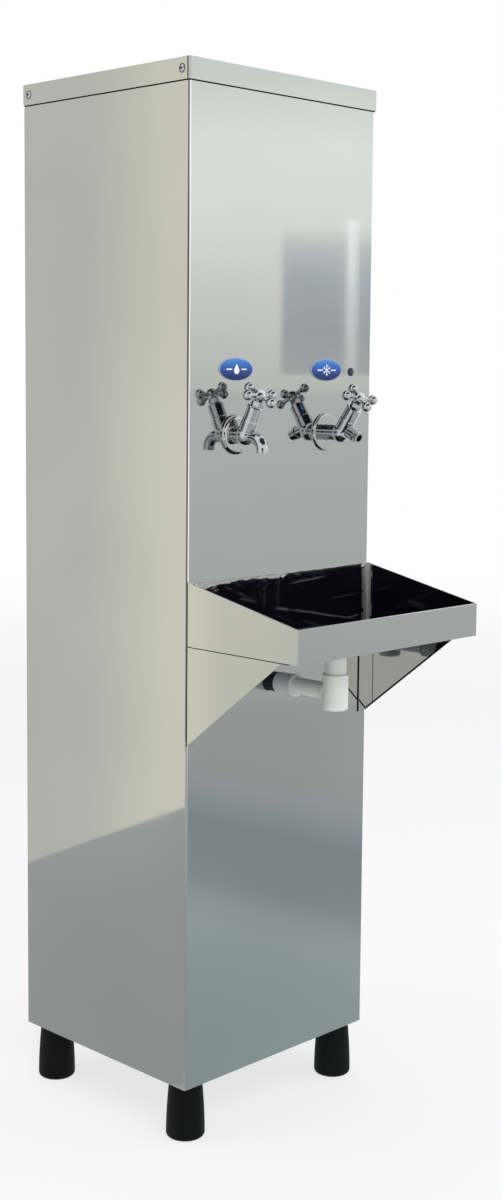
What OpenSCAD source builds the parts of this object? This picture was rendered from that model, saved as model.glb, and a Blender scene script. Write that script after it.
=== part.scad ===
// Free-standing stainless water cooler with two cross-handle taps, a drip tray and a drain.
// Millimetres, +Z up. The front panel faces -Y and +X is the viewer's right.
// The origin is on the floor, midway between the outermost front, rear and sides.

/* [Cabinet] */
// Width of the cabinet, outside
cabinet_w = 330; // [300:1:380]
// Depth of the cabinet, front panel to rear return
cabinet_d = 310; // [290:1:360]
// Overall height, floor to top of the lid
total_h = 1320; // [1310:1:1400]
// Thickness of the stainless sheet
sheet_t = 1.2; // [0.8:0.1:1.5]
// Outer radius of the folded front edges
fold_r = 2.5; // [2:0.1:4]
// Width of the rear returns that carry the cover
return_w = 14; // [12:1:20]
// Gap between a sheet piece and the sheet around it
sheet_gap = 0.3; // [0.2:0.1:0.6]
// Height of the base pan's upturned sides
pan_h = 25; // [18:1:40]

/* [Lid and screws] */
// Depth of the lid's flange
lid_h = 26; // [22:1:34]
// How far the lid stands out past the cabinet
lid_overhang = 2; // [2:0.1:4]
// Distance of the lid's screws from its front and rear edges
lid_screw_inset = 13; // [9:1:30]
// Screw shank diameter
screw_d = 3.5; // [3:0.1:5]
// Screw head diameter
screw_head_d = 9; // [6:0.1:10]
// Screw head height
screw_head_h = 2.2; // [1.6:0.1:3]
// Screw length under the head
screw_len = 8; // [6:0.5:10]
// Radial clearance of screws, bolts and pipes in their holes
hole_gap = 0.3; // [0.2:0.05:0.5]

/* [Feet] */
// Height of the feet
foot_h = 73; // [50:1:90]
// Diameter at the floor
foot_base_d = 49; // [42:1:54]
// Diameter at the base pan
foot_top_d = 41; // [34:1:48]
// Radius of the rounded edge at the floor
foot_edge_r = 5; // [3:0.5:8]
// Outward bulge of the feet's sides
foot_bulge = 0.9; // [0.3:0.1:1.5]
// Distance of each foot's axis from the cabinet's faces
foot_inset = 27; // [25:1:40]
// Foot bolt shank diameter
bolt_d = 8; // [6:0.5:10]
// Foot bolt length under the head
bolt_len = 32; // [20:1:40]
// Foot bolt head, across corners
bolt_head_d = 15; // [13:0.5:18]
// Foot bolt head height
bolt_head_h = 5.5; // [4:0.5:7]

/* [Drip tray] */
// How far the tray stands out from the front panel
tray_reach = 182; // [165:1:230]
// Height of the tray's rim at the panel
tray_rim_z = 705; // [685:1:730]
// Height of the tray's rim at its front
tray_front_z = 668; // [650:1:680]
// Height of the tray's underside
tray_floor_z = 627; // [610:1:640]
// Thickness of the film that lines the tray
film_t = 0.4; // [0.3:0.1:0.8]
// How far the film's edge stays below the rim
film_margin = 4; // [2:0.5:10]

/* [Brackets] */
// Height of the brackets' lower corners
bracket_foot_z = 505; // [470:1:540]
// How far the brackets reach under the tray
bracket_reach = 157; // [140:1:160]
// Width of the flanges against the panel and the tray
bracket_flange_w = 15; // [10:1:20]

/* [Drain] */
// Sideways place of the drain
drain_x = -12; // [-30:1:30]
// Distance of the drain from the front panel
drain_out = 103; // [95:1:115]
// Strainer flange diameter
strainer_d = 56; // [52:1:66]
// Strainer flange thickness
strainer_t = 2; // [1.5:0.1:3]
// Strainer hole diameter
strainer_hole_d = 3.6; // [2.5:0.1:4.5]
// Strainer tail, outside diameter
strainer_tail_d = 32; // [31:0.5:36]
// Length of the strainer tail below the tray
strainer_tail_len = 14; // [12:1:18]
// Drain nut, across flats
drain_nut_af = 42; // [40:1:48]
// Drain nut height
drain_nut_h = 10; // [7:0.5:11]
// Tailpipe, outside diameter
tailpipe_d = 26.5; // [24:0.5:27]
// Wall of the drain pipes
drain_wall = 2; // [1.5:0.1:2.4]
// Trap body, outside diameter
tee_d = 31.5; // [31.5:0.5:36]
// Height of the trap body's top edge
tee_top_z = 589; // [585:1:592]
// Height of the trap body
tee_h = 44; // [40:1:60]
// Depth of the tailpipe in the trap body
tee_socket = 12; // [8:1:14]
// Height of the branch axis above the trap body's foot
branch_rise = 21; // [18:1:22]
// Branch and drain pipe, outside diameter
branch_d = 21; // [20:0.5:22]
// Coupling, outside diameter
coupling_d = 27; // [26:0.5:30]
// Coupling end bead, outside diameter
coupling_bead_d = 29; // [28.5:0.5:33]
// Distance of the coupling's outer end from the panel
coupling_out = 38; // [30:1:45]
// Seal ring, outside diameter
seal_d = 25; // [24.5:0.5:30]
// Seal ring length
seal_len = 9; // [6:0.5:12]
// Centre-line radius of the drain pipe's elbow
drain_bend_r = 26; // [22:1:34]
// Free length of the drain pipe below the base pan
drain_spigot_len = 24; // [15:1:30]
// Diameter of the drain pipe's hose end
spigot_end_d = 20; // [19:0.1:20]

/* [Taps] */
// Height of the tap axes
tap_z = 880; // [860:1:890]
// Distance between the two taps
tap_spacing = 163; // [140:1:180]
// Sideways shift of the taps from the panel's middle
tap_shift = -4.5; // [-10:0.5:10]
// Stem of the left tap, panel to valve axis
left_stem = 18; // [14:0.5:24]
// Stem of the right tap, panel to valve axis
right_stem = 28; // [18:0.5:30]
// Forward lean of the left spindle, degrees
left_lean = 26; // [15:1:30]
// Forward lean of the right spindle, degrees
right_lean = 34; // [15:1:35]
// Diameter of the threaded tail
tail_d = 20.5; // [19:0.1:21]
// Bore of the threaded tail
tail_bore_d = 11; // [9:0.5:12]
// Length of the tail behind the panel's front
tail_len = 30; // [24:1:40]
// Diameter of the valve globe
globe_d = 25; // [24:0.5:27]
// Diameter of the bonnet seat
socket_d = 22; // [21:0.5:24]
// Length of the bonnet seat along the spindle
socket_h = 17; // [16:0.5:20]
// Wall flange diameter
flange_d = 49; // [44:1:56]
// Thickness of the left flange
left_flange_h = 6; // [4:0.5:6.5]
// Thickness of the right flange
right_flange_h = 3.5; // [3:0.5:7]
// Straight part of the flanges' round edge
flange_rim_t = 0.8; // [0.5:0.1:2]
// Back nut, across corners
back_nut_d = 34; // [30:0.5:36]
// Back nut thickness
back_nut_t = 8; // [6:0.5:10]

/* [Spout and nozzle] */
// Left spout tube diameter
spout_d = 15; // [13:0.5:16]
// Left spout bore
spout_bore_d = 10; // [8:0.5:11]
// Drop of the left spout below the tap axis
spout_drop = 3; // [2:0.5:5]
// Straight run of the left spout from the valve axis
spout_run = 13.5; // [13.5:0.5:25]
// Centre-line radius of the left spout's bend
spout_bend_r = 15; // [12:0.5:20]
// Length of the left spout's straight tip
spout_tip = 2.5; // [1.5:0.5:10]
// Right nozzle diameter
nozzle_d = 15; // [13:0.5:16]
// Right nozzle length from the spindle axis
nozzle_len = 29; // [28:0.5:38]
// Downward slope of the right nozzle, degrees
nozzle_slope = 23; // [5:1:30]
// Height of the right nozzle's root along the spindle
nozzle_rise = 6; // [5:0.5:7]
// Right nozzle collar diameter
nozzle_collar_d = 17.5; // [16.5:0.5:19]

/* [Valve and handle] */
// Bonnet diameter at its foot
bonnet_base_d = 21.5; // [19:0.5:22]
// Bonnet diameter at its top
bonnet_top_d = 20.5; // [16:0.5:21.5]
// Bonnet length above its seat
bonnet_len = 22.5; // [20:0.5:34]
// Bonnet spigot diameter in the seat
spigot_d = 13.6; // [12.6:0.1:14.6]
// Bonnet spigot length
spigot_len = 5; // [3:0.5:5]
// Gland nut, across corners
gland_d = 13.5; // [12:0.5:17]
// Gland nut height
gland_h = 7; // [4:0.5:7]
// Spindle diameter
spindle_d = 8; // [6:0.5:8.5]
// Running gap around the spindle and the valve
running_gap = 0.3; // [0.2:0.05:0.4]
// Height of the valve seat along the spindle
seat_h = 5; // [4.5:0.5:5.5]
// Valve seat bore
seat_bore_d = 8; // [6:0.5:9]
// Valve disc diameter
valve_d = 12; // [10:0.5:12]
// Valve disc thickness
valve_t = 3; // [2:0.5:3.5]
// Valve pin diameter
valve_pin_d = 3.2; // [2.5:0.1:3.6]
// Valve pin length
valve_pin_len = 6; // [4:0.5:8]
// Free neck between gland nut and handle
neck_h = 1.2; // [1.2:0.1:8]
// Hub diameter
hub_d = 16.4; // [14:0.2:18]
// Hub height
hub_h = 11; // [10:0.5:14]
// Radius from the spindle to the handle's balls
arm_r = 20.5; // [18:0.5:26]
// Arm diameter at the hub
arm_root_d = 5.8; // [5:0.1:6.5]
// Arm diameter at the ball
arm_tip_d = 4.2; // [3.5:0.1:5]
// Ball diameter
ball_d = 12.5; // [8:0.5:13]
// Turn of the closed left handle, degrees
left_handle_turn = 0; // [-45:1:45]
// Turn of the closed right handle, degrees
right_handle_turn = -15; // [-45:1:45]
// Diameter of the hub's button
button_d = 10.4; // [8:0.2:11]
// Dome height of the hub's button
button_h = 2.4; // [1.5:0.1:4]

/* [Front trim] */
// Height of the oval labels' centres
label_z = 959; // [945:1:985]
// Width of the oval labels
label_w = 58; // [40:1:66]
// Height of the oval labels
label_h = 27.5; // [18:0.5:32]
// Thickness of the labels' rim
label_rim_t = 0.8; // [0.5:0.1:1.5]
// Thickness of the labels' raised face
label_face_t = 0.8; // [0.5:0.1:1.5]
// Width of the labels' rim
label_rim_w = 1.5; // [1:0.1:3]
// Sideways place of the pilot lamp
lamp_x = 125; // [120:1:130]
// Height of the pilot lamp
lamp_z = 957; // [945:1:985]
// Diameter of the pilot lamp's bezel
lamp_d = 11; // [8:0.5:12]
// How far the pilot lamp stands out
lamp_h = 4; // [2:0.1:5]
// Diameter of the lamp's body in the panel
lamp_body_d = 6.8; // [5:0.2:7]
// Length of the lamp's body behind the panel
lamp_body_len = 14; // [8:1:18]

/* [Tank] */
// Height of the tank shelf above the tap axes
shelf_rise = 27; // [24:1:34]
// Room between the insulation and the lid
tank_headroom = 32; // [32:1:60]
// Wall of the tank
tank_t = 2; // [1.5:0.1:3]
// Corner radius of the tank
tank_corner_r = 18; // [10:1:30]
// Thickness of the insulation
insul_t = 20; // [20:1:24]
// Gap around the insulation and around the tank
insul_gap = 0.6; // [0.4:0.1:0.9]
// Clear depth behind the insulation for pipes
rear_gap = 30; // [28:1:40]
// Thickness of the tank's lid
tank_lid_t = 14; // [10:1:14]
// Coil radius to the tube's centre
coil_r = 60; // [50:1:64]
// Coil tube diameter
coil_tube_d = 8; // [6:0.5:9]
// Rise of the coil per turn
coil_pitch = 20; // [14:1:22]
// Whole turns of the coil
coil_turns = 7; // [4:1:7]
// Height of the coil's first turn above the tank's floor
coil_rise = 25; // [15:1:40]

/* [Water lines] */
// Depth of the water inlet below the insulation's top
inlet_drop = 47; // [42:1:70]
// Diameter of the inlet thread
inlet_d = 20.9; // [20:0.1:21.5]
// How far the inlet stands out behind the cabinet
rear_reach = 28; // [24:1:40]
// Inlet bore
inlet_bore_d = 10; // [8:0.5:12]
// Inlet body diameter inside the cabinet
inlet_body_d = 18; // [16:0.5:20]
// Inlet hexagon, across corners
inlet_hex_d = 30; // [27:0.5:34]
// Inlet hexagon thickness
inlet_hex_t = 6; // [4:0.5:8]
// Feed pipe diameter
feed_d = 13; // [12.5:0.5:14]
// Feed pipe wall
feed_wall = 1; // [0.8:0.1:1.5]
// Centre-line radius of the feed pipes' elbows
feed_bend_r = 20; // [14:1:24]
// Distance of the chilled feed's drop from the front panel
feed_out = 78; // [70:1:90]
// Float valve block, side
float_block = 24; // [20:1:28]
// Float valve block, length
float_block_len = 34; // [28:1:40]
// Float arm diameter
float_rod_d = 5; // [4:0.5:6]
// Float arm, pivot to ball centre
float_arm_len = 110; // [90:1:115]
// Float ball diameter
float_ball_d = 60; // [50:1:62]
// Droop of the float in an empty tank, degrees
float_droop = 30; // [20:1:34]
// Float pivot pin diameter
float_pin_d = 4; // [3:0.5:5]

/* [Cooling unit] */
// Compressor shell diameter
compressor_d = 130; // [110:1:136]
// Compressor shell height
compressor_h = 165; // [140:1:200]
// Edge radius of the compressor shell
compressor_edge_r = 30; // [20:1:40]
// Sideways place of the compressor
compressor_x = -75; // [-80:1:-70]
// Distance of the compressor's axis from the front panel
compressor_out = 195; // [185:1:200]
// Compressor foot plate thickness
foot_plate_t = 3; // [2:0.5:4]
// Rubber mount height
mount_h = 14; // [10:1:20]
// Rubber mount diameter
mount_d = 22; // [18:1:26]
// Condenser width
condenser_w = 140; // [120:1:144]
// Condenser depth
condenser_d = 40; // [30:1:44]
// Condenser height
condenser_h = 150; // [130:1:170]
// Sideways place of the condenser's middle
condenser_x = 85; // [82:1:88]
// Distance of the condenser from the rear cover
condenser_back = 36; // [34:1:40]
// Condenser tube diameter
condenser_tube_d = 8; // [6:0.5:9]
// Number of condenser fins
condenser_fins = 14; // [8:1:18]
// Condenser fin thickness
fin_t = 0.8; // [0.6:0.1:1.2]
// Fan diameter
fan_d = 126; // [100:1:128]
// Fan hub diameter
fan_hub_d = 30; // [24:1:36]
// Fan depth
fan_depth = 18; // [14:1:22]
// Gap between the fan and the condenser
fan_gap = 8; // [5:1:14]
// Number of fan blades
fan_blades = 5; // [3:1:7]
// Pitch of the fan blades, degrees
fan_pitch = 28; // [15:1:35]
// Fan shaft diameter
fan_shaft_d = 6; // [5:0.5:8]
// Fan motor diameter
motor_d = 62; // [50:1:70]
// Fan motor length
motor_len = 40; // [30:1:50]
// Diameter of the refrigerant lines
line_d = 8; // [6:0.5:8]
// Bend radius of the refrigerant lines
line_bend_r = 11; // [9:1:12]

/* [Rear] */
// Height of the rear cover's top edge below the lid
rear_cover_drop = 1.5; // [1:0.5:6]
// Louvre length
louvre_w = 104; // [80:1:110]
// Louvre opening height
louvre_h = 8; // [6:0.5:10]
// How far the louvres stand out
louvre_out = 6; // [4:0.5:8]
// Distance between louvres
louvre_pitch = 22; // [16:1:26]
// Louvres in each of the two columns
louvre_rows = 12; // [4:1:12]
// Height of the lowest louvre
louvre_z = 170; // [150:1:200]
// Distance of the louvre columns from the middle
louvre_x = 68; // [62:1:72]
// Sideways place of the thermostat
thermostat_x = 92; // [80:1:100]
// Height of the thermostat
thermostat_z = 620; // [560:1:680]
// Thermostat body width and height
thermostat_w = 42; // [36:1:50]
// Thermostat body depth
thermostat_d = 24; // [18:1:30]
// Knob diameter
knob_d = 32; // [26:1:40]
// Knob depth
knob_h = 14; // [10:0.5:18]
// Knob shaft diameter
knob_shaft_d = 6; // [5:0.5:8]
// Sideways place of the cord gland
gland_x = -110; // [-120:1:-90]
// Height of the cord gland
gland_z = 120; // [110:1:135]
// Cord gland bore
gland_bore_d = 8; // [6:0.5:10]
// Cord gland thread diameter
gland_thread_d = 16; // [14:0.5:18]
// Cord gland hexagon, across corners
gland_hex_d = 24; // [22:0.5:28]

/* [Hidden] */

// Colours
steel = [0.74, 0.75, 0.73];
chrome = [0.82, 0.84, 0.86];
pvc_white = [0.93, 0.94, 0.92];
pvc_grey = [0.66, 0.69, 0.70];
black_rubber = [0.05, 0.05, 0.06];
brass = [0.74, 0.60, 0.32];
copper = [0.72, 0.43, 0.28];

// Smoothness of round parts and the overcut of a hole past its faces
round_fn = 64;
over = 1;
left = -1;
right = 1;

// Places shared by several pieces
front_y = (tray_reach - cabinet_d - rear_reach) / 2;
back_y = front_y + cabinet_d;
front_in = front_y + sheet_t;
back_in = back_y - sheet_t;
inner_x = cabinet_w / 2 - sheet_t;
pan_z = foot_h;
pan_top = pan_z + sheet_t;
wrap_top = total_h - sheet_t;
lid_foot = total_h - lid_h;
left_tap_x = tap_shift - tap_spacing / 2;
right_tap_x = tap_shift + tap_spacing / 2;
foot_x = cabinet_w / 2 - foot_inset;
foot_ys = [front_y + foot_inset, back_y - foot_inset];

// Tray and drain
tray_in_z = tray_floor_z + sheet_t;
rim_slope = (tray_rim_z - tray_front_z) / tray_reach;
drain_y = front_y - drain_out;
tee_foot_z = tee_top_z - tee_h;
branch_z = tee_foot_z + branch_rise;
branch_bore_d = branch_d - 2 * drain_wall;
drain_drop_y = front_y + 2 * drain_bend_r;

// Spindle heights, counted along the spindle from the tap axis
valve_z = seat_h + running_gap;
spindle_z = valve_z + valve_t + running_gap;
bonnet_top = socket_h + bonnet_len;
gland_top = bonnet_top + gland_h;
hub_z = gland_top + neck_h;
hub_floor = 2;
hub_bore_h = hub_h - hub_floor;
spindle_top = hub_z + hub_bore_h - running_gap;
spindle_bore_d = spindle_d + 2 * running_gap;
chamber_d = spigot_d + 2 * running_gap;
hub_fit = 0.1;

// Tank compartment
shelf_z = tap_z + shelf_rise;
insul_x = inner_x - insul_gap;
insul_front = front_in + insul_gap;
insul_back = back_in - rear_gap;
insul_top = wrap_top - tank_headroom;
tank_h = insul_top - shelf_z - insul_t;
tank_x = insul_x - insul_t - insul_gap;
tank_front = insul_front + insul_t + insul_gap;
tank_back = insul_back - insul_t - insul_gap;
tank_z = shelf_z + insul_t;
tank_floor = tank_z + tank_t;
tank_mid_y = (tank_front + tank_back) / 2;
coil_z = tank_floor + coil_rise;
coil_top = coil_z + (coil_turns + 0.5) * coil_pitch;
line_y = back_y - line_bend_r - line_d / 2 + 2;
inlet_z = insul_top - inlet_drop;
pipe_y = back_y - feed_d / 2 - 4;
feed_y = front_y + feed_out;
float_pivot_y = tank_back - tank_t - float_block_len;
float_pivot_z = inlet_z - float_block / 4;

// Cooling unit
compressor_y = front_y + compressor_out;
compressor_z = pan_top + mount_h;
shell_z = compressor_z + foot_plate_t;
mount_dx = compressor_d / 2 - 4;
mount_dy = compressor_d / 2 - 16;
condenser_y = back_y - condenser_back - condenser_d;
condenser_z = pan_top;
fan_y = condenser_y - fan_gap - fan_depth;
fan_z = condenser_z + condenser_h / 2;
motor_y = fan_y - running_gap;

function tap_at(side) = side == left ? left_tap_x : right_tap_x;
function stem(side) = side == left ? left_stem : right_stem;
function lean(side) = side == left ? left_lean : right_lean;
function flange_h(side) = side == left ? left_flange_h : right_flange_h;
function handle_turn(side) = side == left ? left_handle_turn : right_handle_turn;

// Helpers

// Turns +Z to point out of the front panel
module outward() {
    rotate([90, 0, 0]) children();
}

// Turns +Z to point out of the rear cover
module rearward() {
    rotate([-90, 0, 0]) children();
}

// Extrudes an outline drawn in (y, z) across the width w, centred on x = 0
module across(w) {
    translate([-w / 2, 0, 0]) rotate([90, 0, 90]) linear_extrude(w) children();
}

// Quarter bend in the YZ plane, from the angle start to start + 90, counted from +Y to +Z
module quarter_bend(start, bend_r, d) {
    rotate([90, 0, 90])
        rotate([0, 0, start])
            rotate_extrude(angle = 90, $fn = round_fn) translate([bend_r, 0]) circle(d = d, $fn = round_fn);
}

// Rectangle from y0 to y1, half width x, with all four corners round
module round_rect(x, y0, y1, r) {
    translate([-x + r, y0]) square([2 * (x - r), y1 - y0]);
    translate([-x, y0 + r]) square([2 * x, y1 - y0 - 2 * r]);
    for (sx = [-1, 1], y = [y0 + r, y1 - r])
        translate([sx * (x - r), y]) circle(r = r, $fn = round_fn);
}

// Rectangle from y0 to y1, half width x, with the two front corners round
module round_front(x, y0, y1, r) {
    translate([-x + r, y0]) square([2 * (x - r), y1 - y0]);
    translate([-x, y0 + r]) square([2 * x, y1 - y0 - r]);
    for (sx = [-1, 1])
        translate([sx * (x - r), y0 + r]) circle(r = r, $fn = round_fn);
}

// Half outline of a spherical cap of base radius r and height h
module cap_outline(r, h) {
    ball_r = (r * r + h * h) / (2 * h);
    intersection() {
        translate([0, h - ball_r]) circle(r = ball_r, $fn = 2 * round_fn);
        square([r + over, h + over]);
    }
}

module at_tap(side) {
    translate([tap_at(side), front_y, tap_z]) children();
}

module at_spindle(side) {
    at_tap(side) translate([0, -stem(side), 0]) rotate([lean(side), 0, 0]) children();
}

module ellipse(a, b) {
    points = 72;
    polygon([for (i = [0:points - 1]) [a * cos(i * 360 / points), b * sin(i * 360 / points)]]);
}

// Places of the lid's four screws: side, y
lid_screw_ys = [front_y - lid_overhang + lid_screw_inset, back_y + lid_overhang - lid_screw_inset];
lid_screw_z = total_h - lid_h / 2;
// Places of the rear cover's six screws: x, z
cover_screw_x = cabinet_w / 2 - return_w / 2;
cover_foot = pan_z + sheet_gap;
cover_top = lid_foot - rear_cover_drop;
cover_screw_zs = [cover_foot + pan_h + 12, (cover_foot + cover_top) / 2, cover_top - 20];

module at_lid_screws() {
    for (sx = [-1, 1], y = lid_screw_ys)
        translate([sx * (cabinet_w / 2 + lid_overhang), y, lid_screw_z]) rotate([0, sx * 90, 0]) children();
}

module at_cover_screws() {
    for (sx = [-1, 1], z = cover_screw_zs)
        translate([sx * cover_screw_x, back_y + sheet_t, z]) rearward() children();
}

module screw_hole() {
    translate([0, 0, -screw_len - over])
        cylinder(d = screw_d + 2 * hole_gap, h = screw_len + 2 * over, $fn = 32);
}

// Cabinet

module cabinet_wrap() {
    color(steel) difference() {
        translate([0, 0, pan_z]) linear_extrude(wrap_top - pan_z) difference() {
            round_front(cabinet_w / 2, front_y, back_y, fold_r);
            round_front(inner_x, front_in, back_in, fold_r - sheet_t);
            translate([-cabinet_w / 2 + return_w, back_y - over - sheet_t])
                square([cabinet_w - 2 * return_w, 2 * over + sheet_t]);
        }
        for (side = [left, right])
            at_tap(side) outward() translate([0, 0, -sheet_t - over])
                cylinder(d = tail_d + 2 * hole_gap, h = sheet_t + 2 * over, $fn = round_fn);
        translate([lamp_x, front_y, lamp_z]) outward() translate([0, 0, -sheet_t - over])
            cylinder(d = lamp_body_d + 2 * hole_gap, h = sheet_t + 2 * over, $fn = round_fn);
        translate([drain_x, front_y, branch_z]) outward() translate([0, 0, -sheet_t - over])
            cylinder(d = branch_d + 2 * hole_gap, h = sheet_t + 2 * over, $fn = round_fn);
        at_lid_screws() screw_hole();
        at_cover_screws() screw_hole();
    }
}

// One louvre, its opening facing down, on the plane y = 0
module louvre_hood() {
    slope_h = louvre_h + louvre_out;
    difference() {
        across(louvre_w) polygon([[0, 0], [louvre_out, 0], [0, slope_h]]);
        across(louvre_w - 2 * sheet_t)
            polygon([[-over, -over], [louvre_out - sheet_t, -over], [louvre_out - sheet_t, 0],
                     [0, slope_h - 2 * sheet_t], [-over, slope_h - 2 * sheet_t]]);
    }
}

module at_louvres() {
    for (sx = [-1, 1], row = [0:louvre_rows - 1])
        translate([sx * louvre_x, back_y + sheet_t, louvre_z + row * louvre_pitch]) children();
}

module rear_cover() {
    color(steel) {
        difference() {
            translate([-cabinet_w / 2 + sheet_gap, back_y, cover_foot])
                cube([cabinet_w - 2 * sheet_gap, sheet_t, cover_top - cover_foot]);
            at_louvres() translate([-louvre_w / 2 + sheet_t, -sheet_t - over, 0])
                cube([louvre_w - 2 * sheet_t, sheet_t + 2 * over, louvre_h]);
            at_cover_screws() screw_hole();
            translate([left_tap_x, back_y, inlet_z]) rearward() translate([0, 0, -over])
                cylinder(d = inlet_d + 2 * hole_gap, h = sheet_t + 2 * over, $fn = round_fn);
            translate([thermostat_x, back_y, thermostat_z]) rearward() translate([0, 0, -over])
                cylinder(d = knob_shaft_d + 2 * hole_gap, h = sheet_t + 2 * over, $fn = round_fn);
            translate([gland_x, back_y, gland_z]) rearward() translate([0, 0, -over])
                cylinder(d = gland_thread_d + 2 * hole_gap, h = sheet_t + 2 * over, $fn = round_fn);
        }
        at_louvres() louvre_hood();
    }
}

module base_pan() {
    color(steel) difference() {
        translate([0, 0, pan_z]) linear_extrude(pan_h) round_front(inner_x, front_in, back_in, fold_r);
        translate([0, 0, pan_top]) linear_extrude(pan_h)
            round_front(inner_x - sheet_t, front_in + sheet_t, back_in - sheet_t, fold_r - sheet_t);
        for (sx = [-1, 1], y = foot_ys)
            translate([sx * foot_x, y, pan_z - over])
                cylinder(d = bolt_d + 2 * hole_gap, h = sheet_t + 2 * over, $fn = 48);
        translate([drain_x, drain_drop_y, pan_z - over])
            cylinder(d = branch_d + 2 * hole_gap, h = sheet_t + 2 * over, $fn = round_fn);
    }
}

module tank_shelf() {
    flange_drop = 18;
    color(steel) difference() {
        translate([0, 0, shelf_z - flange_drop]) linear_extrude(flange_drop)
            round_front(inner_x, front_in, insul_back, fold_r);
        translate([-inner_x + sheet_t, front_in - over, shelf_z - flange_drop - sheet_t])
            cube([2 * (inner_x - sheet_t), cabinet_d, flange_drop]);
        translate([right_tap_x, feed_y, shelf_z - flange_drop])
            cylinder(d = feed_d + 2 * hole_gap, h = flange_drop + over, $fn = round_fn);
    }
}

module lid() {
    lid_x = cabinet_w / 2 + lid_overhang;
    lid_front = front_y - lid_overhang;
    lid_back = back_y + lid_overhang;
    color(steel) difference() {
        translate([0, 0, lid_foot]) linear_extrude(lid_h) round_rect(lid_x, lid_front, lid_back, fold_r);
        translate([0, 0, lid_foot - sheet_t]) linear_extrude(lid_h)
            round_rect(lid_x - sheet_t, lid_front + sheet_t, lid_back - sheet_t, fold_r - sheet_t);
        at_lid_screws() screw_hole();
    }
}

// Pan-head screw with a cross recess, seated on the plane z = 0
module pan_screw() {
    recess_w = screw_head_d / 6;
    recess_l = screw_head_d * 0.6;
    recess_h = screw_head_h / 2;
    difference() {
        union() {
            rotate_extrude($fn = 48) cap_outline(screw_head_d / 2, screw_head_h);
            translate([0, 0, -screw_len]) cylinder(d = screw_d, h = screw_len, $fn = 32);
        }
        for (turn = [0, 90])
            rotate([0, 0, turn]) translate([-recess_l / 2, -recess_w / 2, screw_head_h - recess_h])
                cube([recess_l, recess_w, recess_h + over]);
    }
}

module cover_screws() {
    color(chrome) {
        at_lid_screws() pan_screw();
        at_cover_screws() pan_screw();
    }
}

module foot(sx, y) {
    bore_h = bolt_len + 4;
    foot_r = foot_base_d / 2;
    side_rise = foot_h - foot_edge_r;
    side_run = foot_r - foot_top_d / 2;
    side_len = norm([side_run, side_rise]);
    side_n = [side_rise, side_run] / side_len;
    side_mid = [(foot_r + foot_top_d / 2) / 2, foot_edge_r + side_rise / 2];
    // Distance from the middle of the side's chord to the centre of its arc
    side_in = side_len * side_len / (8 * foot_bulge) - foot_bulge / 2;
    color(black_rubber) translate([sx * foot_x, y, 0]) difference() {
        rotate_extrude($fn = round_fn) {
            square([foot_r - foot_edge_r, foot_edge_r]);
            translate([foot_r - foot_edge_r, foot_edge_r]) intersection() {
                circle(r = foot_edge_r, $fn = round_fn);
                translate([0, -foot_edge_r]) square(foot_edge_r);
            }
            intersection() {
                translate([side_mid[0] - side_in * side_n[0], side_mid[1] - side_in * side_n[1]])
                    circle(r = side_in + foot_bulge, $fn = 8 * round_fn);
                translate([0, foot_edge_r]) square([foot_base_d, side_rise]);
            }
        }
        translate([0, 0, foot_h - bore_h]) cylinder(d = bolt_d + 2 * hole_gap, h = bore_h + over, $fn = 48);
    }
}

module foot_front_left() { foot(left, foot_ys[0]); }
module foot_front_right() { foot(right, foot_ys[0]); }
module foot_rear_left() { foot(left, foot_ys[1]); }
module foot_rear_right() { foot(right, foot_ys[1]); }

module foot_bolts() {
    color(chrome) for (sx = [-1, 1], y = foot_ys) translate([sx * foot_x, y, pan_top]) {
        cylinder(d = bolt_head_d, h = bolt_head_h, $fn = 6);
        translate([0, 0, -bolt_len]) cylinder(d = bolt_d, h = bolt_len, $fn = 48);
    }
}

// Drip tray and brackets

// Side outline of the tray, drawn in from every face by inset and lowered at the rim by drop
module tray_outline(inset, drop) {
    y0 = front_y - tray_reach + inset;
    y1 = front_y - inset;
    polygon([[y1, tray_rim_z - rim_slope * inset - drop],
             [y0, tray_front_z + rim_slope * inset - drop],
             [y0, tray_floor_z + inset], [y1, tray_floor_z + inset]]);
}

module drip_tray() {
    color(steel) difference() {
        across(cabinet_w) tray_outline(0, 0);
        across(cabinet_w - 2 * sheet_t) tray_outline(sheet_t, -2 * sheet_t);
        translate([drain_x, drain_y, tray_floor_z - over])
            cylinder(d = strainer_tail_d + 2 * hole_gap, h = sheet_t + 2 * over, $fn = round_fn);
    }
}

module tray_film() {
    outside = sheet_t;
    inside = outside + film_t;
    color([0.03, 0.03, 0.05]) difference() {
        across(cabinet_w - 2 * outside) tray_outline(outside, film_margin);
        across(cabinet_w - 2 * inside) tray_outline(inside, -film_margin);
        translate([drain_x, drain_y, tray_floor_z])
            cylinder(d = strainer_d + 2, h = outside + film_t + over, $fn = round_fn);
    }
}

module bracket(side) {
    plate_x = cabinet_w / 2;
    module plate(t) {
        rotate([90, 0, 90]) linear_extrude(t)
            polygon([[front_y, bracket_foot_z], [front_y, tray_floor_z],
                     [front_y - bracket_reach, tray_floor_z]]);
    }
    color(steel) mirror([side == left ? 1 : 0, 0, 0]) translate([plate_x, 0, 0]) {
        translate([-sheet_t, 0, 0]) plate(sheet_t);
        intersection() {
            translate([-bracket_flange_w, 0, 0]) plate(bracket_flange_w);
            union() {
                translate([-bracket_flange_w, front_y - sheet_t, bracket_foot_z])
                    cube([bracket_flange_w, sheet_t, tray_floor_z - bracket_foot_z]);
                translate([-bracket_flange_w, front_y - bracket_reach, tray_floor_z - sheet_t])
                    cube([bracket_flange_w, bracket_reach, sheet_t]);
            }
        }
    }
}

module left_bracket() { bracket(left); }
module right_bracket() { bracket(right); }

// Drain

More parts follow.
